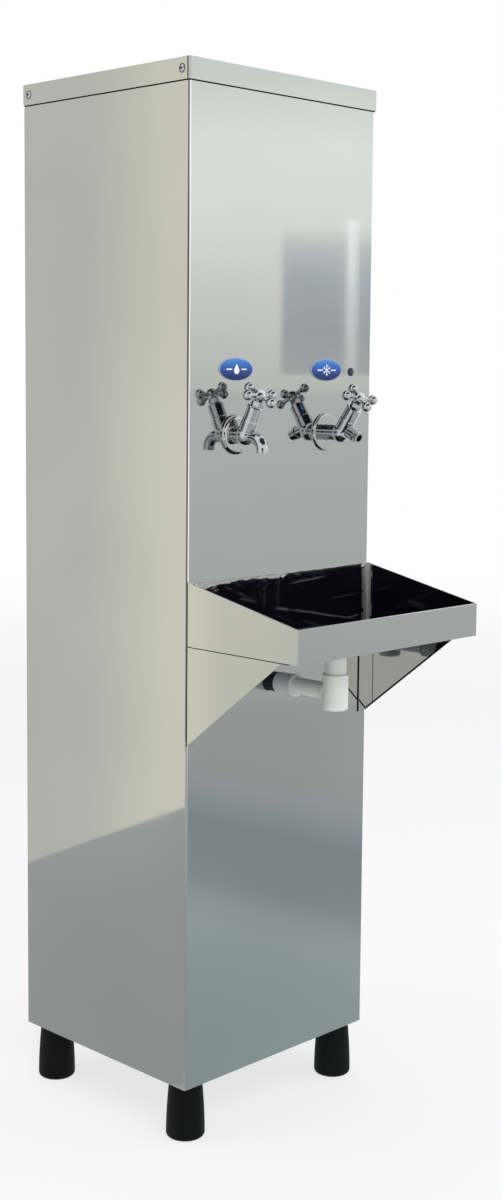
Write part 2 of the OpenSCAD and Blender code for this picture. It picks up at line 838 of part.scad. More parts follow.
module drain_strainer() {
    tail_r = strainer_tail_d / 2;
    ring_step = strainer_hole_d * 1.5;
    tail_bore_r = tailpipe_d / 2 + hole_gap;
    color(steel) translate([drain_x, drain_y, tray_in_z]) difference() {
        union() {
            cylinder(d = strainer_d, h = strainer_t, $fn = round_fn);
            translate([0, 0, -sheet_t - strainer_tail_len])
                cylinder(r = tail_r, h = sheet_t + strainer_tail_len, $fn = round_fn);
        }
        translate([0, 0, -sheet_t - strainer_tail_len - over])
            cylinder(r = tail_bore_r, h = sheet_t + strainer_tail_len + over, $fn = round_fn);
        translate([0, 0, -over]) cylinder(d = strainer_hole_d, h = strainer_t + 2 * over, $fn = 24);
        for (ring = [1, 2], i = [0:6 * ring - 1])
            rotate([0, 0, i * 60 / ring]) translate([ring * ring_step, 0, -over])
                cylinder(d = strainer_hole_d, h = strainer_t + 2 * over, $fn = 24);
    }
}

module drain_nut() {
    corner_d = drain_nut_af / cos(30);
    color(pvc_white) translate([drain_x, drain_y, tray_floor_z - drain_nut_h]) difference() {
        cylinder(d = corner_d, h = drain_nut_h, $fn = 6);
        translate([0, 0, -over])
            cylinder(d = strainer_tail_d + 2 * hole_gap, h = drain_nut_h + 2 * over, $fn = round_fn);
    }
}

module drain_tailpipe() {
    top = tray_in_z - sheet_t;
    foot = tee_top_z - tee_socket;
    color(pvc_white) translate([drain_x, drain_y, foot]) difference() {
        cylinder(d = tailpipe_d, h = top - foot, $fn = round_fn);
        translate([0, 0, -over])
            cylinder(d = tailpipe_d - 2 * drain_wall, h = top - foot + 2 * over, $fn = round_fn);
    }
}

// Trap body: socket on top, closed rounded foot, branch towards the panel with a flared root
module drain_tee() {
    foot_r = 3;
    tee_r = tee_d / 2;
    branch_end = drain_out - coupling_out + (coupling_out - seal_len) / 2;
    flare_len = 9;
    color(pvc_white) translate([drain_x, drain_y, tee_foot_z]) difference() {
        union() {
            rotate_extrude($fn = round_fn) {
                translate([0, foot_r]) square([tee_r, tee_h - foot_r]);
                square([tee_r - foot_r, foot_r]);
                translate([tee_r - foot_r, foot_r]) intersection() {
                    circle(r = foot_r, $fn = round_fn);
                    translate([0, -foot_r]) square(foot_r);
                }
            }
            translate([0, 0, branch_rise]) rearward() {
                cylinder(d = branch_d, h = branch_end, $fn = round_fn);
                translate([0, 0, tee_r - 3])
                    cylinder(d1 = branch_d + 6, d2 = branch_d, h = flare_len, $fn = round_fn);
            }
        }
        translate([0, 0, tee_h - tee_socket])
            cylinder(d = tailpipe_d + 2 * hole_gap, h = tee_socket + over, $fn = round_fn);
        translate([0, 0, 2 * drain_wall])
            cylinder(d = tailpipe_d - 2 * drain_wall, h = tee_h, $fn = round_fn);
        translate([0, 0, branch_rise]) rearward()
            cylinder(d = branch_bore_d, h = branch_end + over, $fn = round_fn);
    }
}

module drain_coupling() {
    bead_len = 4;
    color(pvc_grey) translate([drain_x, front_y, branch_z]) outward() difference() {
        union() {
            translate([0, 0, seal_len]) cylinder(d = coupling_d, h = coupling_out - seal_len, $fn = round_fn);
            translate([0, 0, coupling_out - bead_len])
                cylinder(d = coupling_bead_d, h = bead_len, $fn = round_fn);
        }
        translate([0, 0, -over])
            cylinder(d = branch_d + 2 * hole_gap, h = coupling_out + 2 * over, $fn = round_fn);
    }
}

module drain_seal() {
    seal_r = seal_d / 2;
    bore_r = branch_d / 2 + hole_gap;
    lip = 1;
    color([0.06, 0.08, 0.14]) translate([drain_x, front_y, branch_z]) outward()
        rotate_extrude($fn = round_fn)
            polygon([[bore_r, 0], [seal_r, 0], [seal_r, seal_len - lip],
                     [seal_r - lip, seal_len], [bore_r, seal_len]]);
}

module drain_pipe() {
    start_out = seal_len + (coupling_out - seal_len) / 2;
    foot_z = pan_z - drain_spigot_len;
    shank_z = pan_z - 4;
    elbow_z = branch_z - drain_bend_r;
    elbow_y = drain_drop_y - drain_bend_r;
    module run(d) {
        translate([0, elbow_y, branch_z]) outward()
            cylinder(d = d, h = elbow_y - front_y + start_out, $fn = round_fn);
        translate([0, elbow_y, elbow_z]) quarter_bend(0, drain_bend_r, d);
        translate([0, drain_drop_y, shank_z]) cylinder(d = d, h = elbow_z - shank_z, $fn = round_fn);
    }
    module bore_ends() {
        translate([0, front_y - start_out + over, branch_z]) outward()
            cylinder(d = branch_bore_d, h = 2 * over, $fn = round_fn);
        translate([0, drain_drop_y, foot_z - over])
            cylinder(d = branch_bore_d, h = shank_z - foot_z + 2 * over, $fn = round_fn);
    }
    color(pvc_white) translate([drain_x, 0, 0]) difference() {
        union() {
            run(branch_d);
            translate([0, drain_drop_y, foot_z])
                cylinder(d = spigot_end_d, h = shank_z - foot_z, $fn = round_fn);
        }
        run(branch_bore_d);
        bore_ends();
    }
}

// Taps

module curved_spout(d, root) {
    bend_y = -stem(left) - spout_run;
    bend_z = -spout_drop - spout_bend_r;
    translate([0, -stem(left) - root, -spout_drop]) outward()
        cylinder(d = d, h = spout_run - root, $fn = round_fn);
    translate([0, bend_y, bend_z]) quarter_bend(90, spout_bend_r, d);
    translate([0, bend_y - spout_bend_r, bend_z - spout_tip]) cylinder(d = d, h = spout_tip, $fn = round_fn);
}

module angled_nozzle(d, root, len) {
    translate([0, -stem(right), 0]) rotate([lean(right), 0, 0])
        translate([0, 0, nozzle_rise]) rotate([90 + nozzle_slope - lean(right), 0, 0])
            translate([0, 0, root]) cylinder(d = d, h = len - root, $fn = round_fn);
}

module tap_body(side) {
    wall = 2.8;
    collar_h = 4;
    collar_root = nozzle_len - 11;
    port_d = 4;
    port_out = chamber_d / 2 + 2;
    port_foot = spout_drop + 3;
    tail_end = 3;
    spout_root = 2;
    color(chrome) at_tap(side) difference() {
        union() {
            outward() translate([0, 0, -tail_len])
                cylinder(d = tail_d, h = tail_len + stem(side) - tail_end, $fn = round_fn);
            translate([0, -stem(side), 0]) {
                sphere(d = globe_d, $fn = round_fn);
                rotate([lean(side), 0, 0]) cylinder(d = socket_d, h = socket_h, $fn = round_fn);
            }
            if (side == left) {
                curved_spout(spout_d, spout_root);
            } else {
                angled_nozzle(nozzle_d, spout_root, nozzle_len);
                angled_nozzle(nozzle_collar_d, collar_root, collar_root + collar_h);
            }
        }
        // Inlet bore up to the seat, then the valve chamber
        outward() translate([0, 0, -tail_len - over])
            cylinder(d = tail_bore_d, h = tail_len + stem(side) + over, $fn = round_fn);
        translate([0, -stem(side), 0]) rotate([lean(side), 0, 0]) {
            cylinder(d = seat_bore_d, h = socket_h, $fn = 48);
            translate([0, 0, seat_h]) cylinder(d = chamber_d, h = socket_h, $fn = round_fn);
        }
        // Outlet: on the left a port from the front of the chamber into the spout's bore
        if (side == left) {
            translate([0, -stem(side) - port_out, -port_foot])
                cylinder(d = port_d, h = port_foot + seat_h + 6, $fn = 32);
            curved_spout(spout_bore_d, port_out - port_d / 4);
            translate([0, -stem(left) - spout_run - spout_bend_r,
                       -spout_drop - spout_bend_r - spout_tip - over])
                cylinder(d = spout_bore_d, h = 2 * over, $fn = round_fn);
        } else {
            angled_nozzle(nozzle_d - 2 * wall, chamber_d / 2 - 1, nozzle_len + over);
        }
    }
}

module tap_flange(side) {
    flange_r = flange_d / 2;
    edge_r = flange_h(side) - flange_rim_t;
    color(chrome) at_tap(side) outward() rotate_extrude($fn = 2 * round_fn) difference() {
        union() {
            square([flange_r, flange_rim_t]);
            square([flange_r - edge_r, flange_h(side)]);
            translate([flange_r - edge_r, flange_rim_t]) intersection() {
                circle(r = edge_r, $fn = round_fn);
                square(edge_r + over);
            }
        }
        translate([-over, -over]) square([tail_d / 2 + running_gap + over, flange_h(side) + 2 * over]);
    }
}

module tap_bonnet(side) {
    base_r = bonnet_base_d / 2;
    top_r = bonnet_top_d / 2;
    bore_r = spindle_bore_d / 2;
    bead = 3;
    edge = 1.2;
    color(chrome) at_spindle(side) rotate_extrude($fn = 2 * round_fn)
        polygon([[bore_r, socket_h - spigot_len], [spigot_d / 2, socket_h - spigot_len],
                 [spigot_d / 2, socket_h], [base_r, socket_h], [base_r, socket_h + bead],
                 [base_r - edge / 2, socket_h + bead + edge],
                 [top_r, bonnet_top - edge], [top_r - edge, bonnet_top], [bore_r, bonnet_top]]);
}

module tap_gland_nut(side) {
    color(chrome) at_spindle(side) translate([0, 0, bonnet_top]) difference() {
        cylinder(d = gland_d, h = gland_h, $fn = 6);
        translate([0, 0, -over]) cylinder(d = spindle_bore_d, h = gland_h + 2 * over, $fn = round_fn);
    }
}

module tap_spindle(side) {
    color(brass) at_spindle(side) translate([0, 0, spindle_z]) difference() {
        cylinder(d = spindle_d, h = spindle_top - spindle_z, $fn = round_fn);
        translate([0, 0, -over])
            cylinder(d = valve_pin_d + 2 * running_gap, h = valve_pin_len + 1 + over, $fn = 32);
    }
}

module tap_valve(side) {
    color(black_rubber) at_spindle(side) translate([0, 0, valve_z]) {
        cylinder(d = valve_d, h = valve_t, $fn = round_fn);
        translate([0, 0, valve_t]) cylinder(d = valve_pin_d, h = valve_pin_len, $fn = 32);
    }
}

// Cross handle: waisted hub, four tapered arms, a bead and a ball on each
module tap_handle(side) {
    hub_r = hub_d / 2;
    skirt_r = spindle_d / 2 + 2.2;
    arm_z = hub_h * 0.55;
    bead_t = 1.6;
    bead_r = arm_r - ball_d / 2 - bead_t * 0.6;
    arm_root = spindle_d / 2 + 1.4;
    color(chrome) at_spindle(side) translate([0, 0, hub_z]) rotate([0, 0, handle_turn(side)]) difference() {
        union() {
            rotate_extrude($fn = round_fn)
                polygon([[0, 0], [skirt_r, 0], [skirt_r + 0.6, hub_h * 0.2], [hub_r, hub_h * 0.4],
                         [hub_r, hub_h * 0.7], [hub_r - 1.2, hub_h * 0.86],
                         [button_d / 2 + 0.4, hub_h], [0, hub_h]]);
            for (turn = [0:90:270]) rotate([0, 0, turn]) translate([0, 0, arm_z]) {
                translate([arm_root, 0, 0]) rotate([0, 90, 0])
                    cylinder(d1 = arm_root_d, d2 = arm_tip_d, h = arm_r - arm_root, $fn = 32);
                translate([bead_r, 0, 0]) rotate([0, 90, 0])
                    cylinder(d = arm_tip_d + 2.4, h = bead_t, $fn = 32);
                translate([arm_r, 0, 0]) sphere(d = ball_d, $fn = 48);
            }
        }
        translate([0, 0, -over])
            cylinder(d = spindle_d + 2 * hub_fit, h = hub_bore_h + over, $fn = round_fn);
    }
}

module tap_handle_cap(side) {
    color([0.86, 0.86, 0.90]) at_spindle(side) translate([0, 0, hub_z + hub_h])
        rotate_extrude($fn = round_fn) cap_outline(button_d / 2, button_h);
}

module left_tap_body() { tap_body(left); }
module left_tap_flange() { tap_flange(left); }
module left_tap_bonnet() { tap_bonnet(left); }
module left_tap_gland_nut() { tap_gland_nut(left); }
module left_tap_spindle() { tap_spindle(left); }
module left_tap_valve() { tap_valve(left); }
module left_tap_handle() { tap_handle(left); }
module left_tap_handle_cap() { tap_handle_cap(left); }
module right_tap_body() { tap_body(right); }
module right_tap_flange() { tap_flange(right); }
module right_tap_bonnet() { tap_bonnet(right); }
module right_tap_gland_nut() { tap_gland_nut(right); }
module right_tap_spindle() { tap_spindle(right); }
module right_tap_valve() { tap_valve(right); }
module right_tap_handle() { tap_handle(right); }
module right_tap_handle_cap() { tap_handle_cap(right); }

module tap_back_nuts() {
    color(brass) for (side = [left, right])
        translate([tap_at(side), front_in, tap_z]) rearward() difference() {
            cylinder(d = back_nut_d, h = back_nut_t, $fn = 6);
            translate([0, 0, -over])
                cylinder(d = tail_d + 2 * hole_gap, h = back_nut_t + 2 * over, $fn = round_fn);
        }
}

// Front trim

module label(side) {
    color([0.08, 0.20, 0.52]) translate([tap_at(side), front_y, label_z]) outward() {
        linear_extrude(label_rim_t) ellipse(label_w / 2, label_h / 2);
        translate([0, 0, label_rim_t]) linear_extrude(label_face_t)
            ellipse(label_w / 2 - label_rim_w, label_h / 2 - label_rim_w);
    }
}

module ambient_label() { label(left); }
module chilled_label() { label(right); }

module pilot_lamp() {
    rim_t = 1;
    color([0.10, 0.14, 0.34]) translate([lamp_x, front_y, lamp_z]) outward() {
        cylinder(d = lamp_d, h = rim_t, $fn = round_fn);
        translate([0, 0, rim_t]) rotate_extrude($fn = round_fn) cap_outline(lamp_d / 2 - 0.6, lamp_h - rim_t);
        translate([0, 0, -lamp_body_len]) cylinder(d = lamp_body_d, h = lamp_body_len, $fn = round_fn);
    }
}

// Tank compartment

module at_coil_ports() {
    translate([-coil_r, 0, coil_z]) children();
    translate([coil_r, 0, coil_top]) children();
}

module coil_port_hole(y0, y1) {
    translate([0, y0, 0]) rearward() cylinder(d = coil_tube_d + 2 * hole_gap, h = y1 - y0, $fn = 32);
}

module water_tank() {
    color([0.86, 0.88, 0.90]) difference() {
        translate([0, 0, tank_z]) linear_extrude(tank_h)
            round_rect(tank_x, tank_front, tank_back, tank_corner_r);
        translate([0, 0, tank_floor]) linear_extrude(tank_h)
            round_rect(tank_x - tank_t, tank_front + tank_t, tank_back - tank_t, tank_corner_r - tank_t);
        translate([right_tap_x, feed_y, tank_z - over])
            cylinder(d = feed_d + 2 * hole_gap, h = tank_t + 2 * over, $fn = round_fn);
        at_coil_ports() coil_port_hole(tank_back - tank_t - over, tank_back + over);
        translate([left_tap_x, tank_back - tank_t - over, inlet_z]) rearward()
            cylinder(d = inlet_body_d + 2 * hole_gap, h = tank_t + 2 * over, $fn = round_fn);
    }
}

module tank_lid() {
    plug_h = 8;
    plug_gap = 1;
    plug = tank_t + plug_gap;
    color([0.90, 0.90, 0.88]) {
        translate([-insul_x, insul_front, insul_top])
            cube([2 * insul_x, insul_back - insul_front, tank_lid_t]);
        translate([0, 0, insul_top - plug_h]) linear_extrude(plug_h)
            round_rect(tank_x - plug, tank_front + plug, tank_back - plug, tank_corner_r - plug);
    }
}

module tank_insulation() {
    color([0.94, 0.94, 0.92]) difference() {
        translate([-insul_x, insul_front, shelf_z])
            cube([2 * insul_x, insul_back - insul_front, insul_t + tank_h]);
        translate([0, 0, tank_z]) linear_extrude(tank_h + over)
            round_rect(tank_x + insul_gap, tank_front - insul_gap, tank_back + insul_gap,
                       tank_corner_r + insul_gap);
        translate([right_tap_x, feed_y, shelf_z - over])
            cylinder(d = feed_d + 2 * hole_gap, h = insul_t + 2 * over, $fn = round_fn);
        at_coil_ports() coil_port_hole(tank_back, insul_back + over);
        translate([left_tap_x, tank_back, inlet_z]) rearward()
            cylinder(d = inlet_body_d + 2 * hole_gap, h = insul_back - tank_back + over, $fn = round_fn);
        translate([lamp_x, insul_front - over, lamp_z]) rearward()
            cylinder(d = lamp_body_d + 2, h = lamp_body_len + over, $fn = round_fn);
    }
}

// Coil route: in from the back at the left, round and up, and out to the back at the right
coil_steps = 24;
coil_count = (coil_turns + 0.5) * coil_steps;
coil_path = concat(
    [[-coil_r, insul_back, coil_z], [-coil_r, tank_mid_y + coil_r, coil_z]],
    [for (i = [0:coil_count])
        [coil_r * cos(180 + i * 360 / coil_steps), tank_mid_y + coil_r * sin(180 + i * 360 / coil_steps),
         coil_z + coil_pitch * i / coil_steps]],
    [[coil_r, tank_mid_y + coil_r, coil_top], [coil_r, insul_back, coil_top]]
);

function unit(v) = v / norm(v);
function tangent(path, i) = unit(path[min(i + 1, len(path) - 1)] - path[max(i - 1, 0)]);

// Sweeps a round section of sides faces along a nearly level path
module sweep_tube(path, d, sides) {
    rings = len(path);
    points = [for (i = [0:rings - 1])
        let (t = tangent(path, i), across_t = unit(cross(t, [0, 0, 1])), up_t = cross(across_t, t))
        for (k = [0:sides - 1])
            path[i] + d / 2 * (cos(k * 360 / sides) * across_t + sin(k * 360 / sides) * up_t)];
    walls = [for (i = [0:rings - 2], k = [0:sides - 1])
        let (a = i * sides + k, b = i * sides + (k + 1) % sides)
        each [[a, b, b + sides], [a, b + sides, a + sides]]];
    first = [for (k = [1:sides - 2]) [0, k + 1, k]];
    last = [for (k = [1:sides - 2]) (rings - 1) * sides * [1, 1, 1] + [0, k, k + 1]];
    polyhedron(points, concat(walls, first, last));
}

coil_last = len(coil_path) - 1;
coil_least_gap = min([for (i = [0:coil_last], j = [i + coil_steps / 2:1:coil_last])
    norm(coil_path[i] - coil_path[j])]) - coil_tube_d;
echo(coil_least_gap = coil_least_gap);

module cooling_coil() {
    coil_sides = 6;
    color(steel) sweep_tube(coil_path, coil_tube_d, coil_sides);
}

// Refrigerant lines: coil to compressor, coil to condenser, compressor to condenser
module refrigerant_lines() {
    suction_z = shell_z + compressor_h * 0.55;
    liquid_z = condenser_z + condenser_h * 0.9;
    discharge_z = shell_z + compressor_h / 2;
    discharge_y = condenser_y + condenser_d / 2;
    side_reach = discharge_y - compressor_y;
    shell_r = compressor_d / 2;
    module drop(z_top, z_foot, y_foot) {
        bend_y = line_y - line_bend_r;
        translate([0, insul_back, z_top]) rearward() cylinder(d = line_d, h = bend_y - insul_back, $fn = 32);
        translate([0, bend_y, z_top - line_bend_r]) quarter_bend(0, line_bend_r, line_d);
        translate([0, line_y, z_foot + line_bend_r])
            cylinder(d = line_d, h = z_top - z_foot - 2 * line_bend_r, $fn = 32);
        translate([0, bend_y, z_foot + line_bend_r]) quarter_bend(-90, line_bend_r, line_d);
        translate([0, bend_y, z_foot]) outward() cylinder(d = line_d, h = bend_y - y_foot, $fn = 32);
    }
    near_dx = -coil_r - compressor_x - line_d / 2;
    near_dy = side_reach - line_d / 2;
    suction_y = compressor_y + sqrt(shell_r * shell_r - near_dx * near_dx) + running_gap;
    discharge_x = compressor_x + sqrt(shell_r * shell_r - near_dy * near_dy) + running_gap;
    color(copper) {
        translate([-coil_r, 0, 0]) drop(coil_z, suction_z, suction_y);
        translate([coil_r, 0, 0]) drop(coil_top, liquid_z, condenser_y + condenser_d);
        translate([discharge_x, discharge_y, discharge_z]) rotate([0, 90, 0])
            cylinder(d = line_d, h = condenser_x - condenser_w / 2 - discharge_x, $fn = 32);
    }
}

// Water lines

module float_valve() {
    pin_len = float_block + 8;
    color(brass) translate([left_tap_x, 0, 0]) {
        difference() {
            translate([-float_block / 2, float_pivot_y, inlet_z - float_block / 2])
                cube([float_block, float_block_len, float_block]);
            translate([-float_rod_d / 2 - 1, float_pivot_y - over, inlet_z - float_block / 2 - over])
                cube([float_rod_d + 2, float_pin_d + 8 + over, float_block + 2 * over]);
            translate([0, float_pivot_y + float_pin_d / 2 + 4, inlet_z]) rearward()
                cylinder(d = inlet_bore_d / 2, h = float_block_len, $fn = 32);
        }
        translate([-pin_len / 2, float_pivot_y + 4, float_pivot_z]) rotate([0, 90, 0])
            cylinder(d = float_pin_d, h = pin_len, $fn = 32);
    }
}

// Arm and ball, hanging as they do in an empty tank
module float_arm() {
    eye_d = float_pin_d + 4;
    color([0.90, 0.45, 0.15])
        translate([left_tap_x, float_pivot_y + 4, float_pivot_z]) rotate([float_droop, 0, 0]) difference() {
            union() {
                translate([-float_rod_d / 2, 0, 0]) rotate([0, 90, 0])
                    cylinder(d = eye_d, h = float_rod_d, $fn = 48);
                outward() cylinder(d = float_rod_d - 0.4, h = float_arm_len, $fn = 32);
                translate([0, -float_arm_len, 0]) sphere(d = float_ball_d, $fn = round_fn);
            }
            translate([-float_rod_d, 0, 0]) rotate([0, 90, 0])
                cylinder(d = float_pin_d + 2 * running_gap, h = 2 * float_rod_d, $fn = 32);
        }
}

// Threaded inlet behind the cabinet, its body through to the tank and a branch down to the ambient feed
module inlet_nipple() {
    branch_h = inlet_body_d / 2 + 4;
    body_start = tank_back - tank_t;
    color(brass) translate([left_tap_x, 0, inlet_z]) difference() {
        union() {
            translate([0, body_start, 0]) rearward()
                cylinder(d = inlet_body_d, h = back_y - body_start, $fn = round_fn);
            translate([0, back_y, 0]) rearward() cylinder(d = inlet_d, h = rear_reach, $fn = round_fn);
            translate([0, back_y + sheet_t, 0]) rearward()
                cylinder(d = inlet_hex_d, h = inlet_hex_t, $fn = 6);
            translate([0, pipe_y, -branch_h]) cylinder(d = feed_d, h = branch_h, $fn = round_fn);
        }
        translate([0, body_start - over, 0]) rearward()
            cylinder(d = inlet_bore_d, h = back_y + rear_reach - body_start + 2 * over, $fn = round_fn);
        translate([0, pipe_y, -branch_h - over])
            cylinder(d = feed_d - 2 * feed_wall, h = branch_h + over, $fn = round_fn);
    }
}

module feed_run(y_drop, z_top, d) {
    y_end = front_y + tail_len;
    translate([0, y_drop, tap_z + feed_bend_r])
        cylinder(d = d, h = z_top - tap_z - feed_bend_r, $fn = round_fn);
    translate([0, y_drop - feed_bend_r, tap_z + feed_bend_r]) quarter_bend(-90, feed_bend_r, d);
    translate([0, y_end, tap_z]) rearward() cylinder(d = d, h = y_drop - feed_bend_r - y_end, $fn = round_fn);
}

module feed_bore_ends(y_drop, z_top, d) {
    translate([0, y_drop, z_top - over]) cylinder(d = d, h = 2 * over, $fn = round_fn);
    translate([0, front_y + tail_len - over, tap_z]) rearward() cylinder(d = d, h = 2 * over, $fn = round_fn);
}

module ambient_feed_pipe() {
    top = inlet_z - inlet_body_d / 2 - 4;
    color(copper) translate([left_tap_x, 0, 0]) difference() {
        feed_run(pipe_y, top, feed_d);
        feed_run(pipe_y, top, feed_d - 2 * feed_wall);
        feed_bore_ends(pipe_y, top, feed_d - 2 * feed_wall);
    }
}

module chilled_feed_pipe() {
    collar_t = 3;
    top = tank_floor + collar_t;
    color(copper) translate([right_tap_x, 0, 0]) difference() {
        union() {
            feed_run(feed_y, top, feed_d);
            translate([0, feed_y, tank_floor]) cylinder(d = feed_d + 8, h = collar_t, $fn = round_fn);
        }
        feed_run(feed_y, top, feed_d - 2 * feed_wall);
        feed_bore_ends(feed_y, top, feed_d - 2 * feed_wall);
    }
}

// Cooling unit

module compressor() {
    shell_r = compressor_d / 2;
    edge = compressor_edge_r;
    box = [34, 30, 52];
    plate_x = 2 * mount_dx + mount_d;
    plate_y = 2 * mount_dy + mount_d;
    color([0.10, 0.10, 0.11]) translate([compressor_x, compressor_y, 0]) {
        difference() {
            translate([-plate_x / 2, -plate_y / 2, compressor_z]) cube([plate_x, plate_y, foot_plate_t]);
            for (sx = [-1, 1], sy = [-1, 1]) translate([sx * mount_dx, sy * mount_dy, compressor_z - over])
                cylinder(d = bolt_d, h = foot_plate_t + 2 * over, $fn = 32);
        }
        translate([0, 0, shell_z]) rotate_extrude($fn = round_fn) {
            square([shell_r - edge, compressor_h]);
            translate([0, edge]) square([shell_r, compressor_h - 2 * edge]);
            for (z = [edge, compressor_h - edge]) translate([shell_r - edge, z]) intersection() {
                circle(r = edge, $fn = round_fn);
                translate([0, -edge]) square([edge, 2 * edge]);
            }
        }
        translate([-box[0] / 2, -shell_r - box[1] / 2, shell_z + edge]) cube(box);
    }
}

module compressor_mounts() {
    color(black_rubber) for (sx = [-1, 1], sy = [-1, 1])
        translate([compressor_x + sx * mount_dx, compressor_y + sy * mount_dy, pan_top])
            cylinder(d = mount_d, h = mount_h, $fn = 48);
}

// Finned block: end plates, fins and two rows of tubes
module condenser() {
    plate_t = 2;
    rows = 5;
    fin_pitch = (condenser_w - 2 * plate_t) / (condenser_fins + 1);
    tube_pitch = condenser_h / rows;
    left_x = condenser_x - condenser_w / 2;
    color([0.62, 0.64, 0.66]) translate([left_x, condenser_y, condenser_z]) union() {
        for (x = [0, condenser_w - plate_t]) translate([x, 0, 0]) cube([plate_t, condenser_d, condenser_h]);
        for (i = [1:condenser_fins])
            translate([plate_t + i * fin_pitch - fin_t / 2, 1, 4])
                cube([fin_t, condenser_d - 2, condenser_h - 8]);
        for (row = [0:rows - 1], y = [condenser_d * 0.28, condenser_d * 0.72])
            translate([plate_t / 2, y, (row + 0.5) * tube_pitch]) rotate([0, 90, 0])
                cylinder(d = condenser_tube_d, h = condenser_w - plate_t, $fn = 32);
        translate([coil_r - left_x, condenser_d * 0.72, condenser_h * 0.9]) rearward()
            cylinder(d = line_d + 2, h = condenser_d * 0.28, $fn = 32);
    }
}

// Motor on an upright plate that stands on the base pan
module fan_motor() {
    post_w = 46;
    post_t = 4;
    foot_l = 36;
    bearing_h = 12;
    color([0.20, 0.21, 0.23]) translate([condenser_x, motor_y, 0]) difference() {
        union() {
            translate([0, 0, fan_z]) outward() cylinder(d = motor_d, h = motor_len, $fn = round_fn);
            translate([-post_w / 2, -motor_len - post_t, pan_top]) cube([post_w, post_t, fan_z - pan_top]);
            translate([-post_w / 2, -motor_len - post_t, pan_top]) cube([post_w, foot_l, post_t]);
        }
        translate([0, over, fan_z]) outward()
            cylinder(d = fan_shaft_d + 2 * running_gap, h = bearing_h + over, $fn = 32);
    }
}

// Hub, pitched blades and the shaft that runs in the motor
module fan_blade() {
    blade_t = 2;
    shaft_in = 10;
    fan_r = fan_d / 2;
    hub_r = fan_hub_d / 2;
    color([0.16, 0.17, 0.18]) translate([condenser_x, fan_y, fan_z]) rearward() union() {
        cylinder(r = hub_r, h = fan_depth, $fn = round_fn);
        translate([0, 0, -running_gap - shaft_in])
            cylinder(d = fan_shaft_d, h = shaft_in + running_gap + 2, $fn = 32);
        intersection() {
            cylinder(r = fan_r, h = fan_depth, $fn = 2 * round_fn);
            for (i = [0:fan_blades - 1]) rotate([0, 0, i * 360 / fan_blades])
                translate([hub_r - 3, 0, fan_depth / 2]) rotate([fan_pitch, 0, 0])
                    translate([0, -fan_depth, -blade_t / 2]) cube([fan_r, 2 * fan_depth, blade_t]);
        }
    }
}

// Rear fittings

module thermostat() {
    body_z = thermostat_z - thermostat_w / 2;
    color([0.85, 0.85, 0.80]) difference() {
        translate([thermostat_x - thermostat_w / 2, back_y - thermostat_d, body_z])
            cube([thermostat_w, thermostat_d, thermostat_w]);
        translate([thermostat_x, back_y + over, thermostat_z]) outward()
            cylinder(d = knob_shaft_d + 2 * running_gap, h = thermostat_d / 2 + over, $fn = 32);
    }
}

// Fluted knob with a pointer groove and its shaft
module thermostat_knob() {
    flutes = 12;
    flute_d = 5;
    skirt_t = 3;
    shaft_in = thermostat_d / 2 - 2;
    groove = 1.2;
    color([0.08, 0.08, 0.09])
    translate([thermostat_x, back_y + sheet_t + running_gap, thermostat_z]) rearward() {
        cylinder(d = knob_d, h = skirt_t, $fn = round_fn);
        difference() {
            translate([0, 0, skirt_t]) linear_extrude(knob_h - skirt_t) difference() {
                circle(d = knob_d - 2, $fn = round_fn);
                for (i = [0:flutes - 1]) rotate([0, 0, (i + 0.5) * 360 / flutes])
                    translate([knob_d / 2, 0]) circle(d = flute_d, $fn = 24);
            }
            translate([-groove / 2, 0, knob_h - groove]) cube([groove, knob_d, groove + over]);
        }
        translate([0, 0, -sheet_t - running_gap - shaft_in])
            cylinder(d = knob_shaft_d, h = sheet_t + running_gap + shaft_in, $fn = 32);
    }
}

module cord_gland() {
    hex_t = 6;
    dome_h = 9;
    inside_len = 12;
    color(black_rubber) translate([gland_x, back_y, gland_z]) rearward() difference() {
        union() {
            translate([0, 0, -inside_len])
                cylinder(d = gland_thread_d, h = inside_len + sheet_t + hex_t, $fn = round_fn);
            translate([0, 0, sheet_t]) cylinder(d = gland_hex_d, h = hex_t, $fn = 6);
            translate([0, 0, sheet_t + hex_t])
                cylinder(d1 = gland_hex_d - 4, d2 = gland_thread_d - 2, h = dome_h, $fn = round_fn);
        }
        translate([0, 0, -inside_len - over])
            cylinder(d = gland_bore_d, h = inside_len + sheet_t + hex_t + dome_h + 2 * over, $fn = round_fn);
    }
}

cabinet_wrap();
rear_cover();
base_pan();
tank_shelf();
lid();
cover_screws();
foot_front_left();
foot_front_right();
foot_rear_left();
foot_rear_right();
foot_bolts();
drip_tray();
tray_film();
left_bracket();
right_bracket();
drain_strainer();
drain_nut();
drain_tailpipe();
drain_tee();
drain_coupling();
drain_seal();
drain_pipe();
left_tap_body();
left_tap_flange();
left_tap_bonnet();
left_tap_gland_nut();
left_tap_spindle();
left_tap_valve();
left_tap_handle();
left_tap_handle_cap();
right_tap_body();
right_tap_flange();
right_tap_bonnet();
right_tap_gland_nut();
right_tap_spindle();
right_tap_valve();
right_tap_handle();
right_tap_handle_cap();
tap_back_nuts();
ambient_label();
chilled_label();
pilot_lamp();
water_tank();
tank_lid();
tank_insulation();
cooling_coil();
refrigerant_lines();
float_valve();
float_arm();
inlet_nipple();
ambient_feed_pipe();
chilled_feed_pipe();
compressor();
compressor_mounts();
condenser();
fan_motor();
fan_blade();
thermostat();
thermostat_knob();
cord_gland();
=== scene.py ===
"""Looks of a free-standing stainless water cooler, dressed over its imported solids.

Sizes are in millimetres in the classes below and become metres when a piece is finished.
The front panel faces -Y, +X is to the right of someone facing it, and +Z is up.
"""

import functools
import logging
import math
from dataclasses import dataclass, field
from enum import Enum
from typing import Any, Iterable, Sequence

import bmesh
import bpy
from mathutils import Matrix, Vector, noise


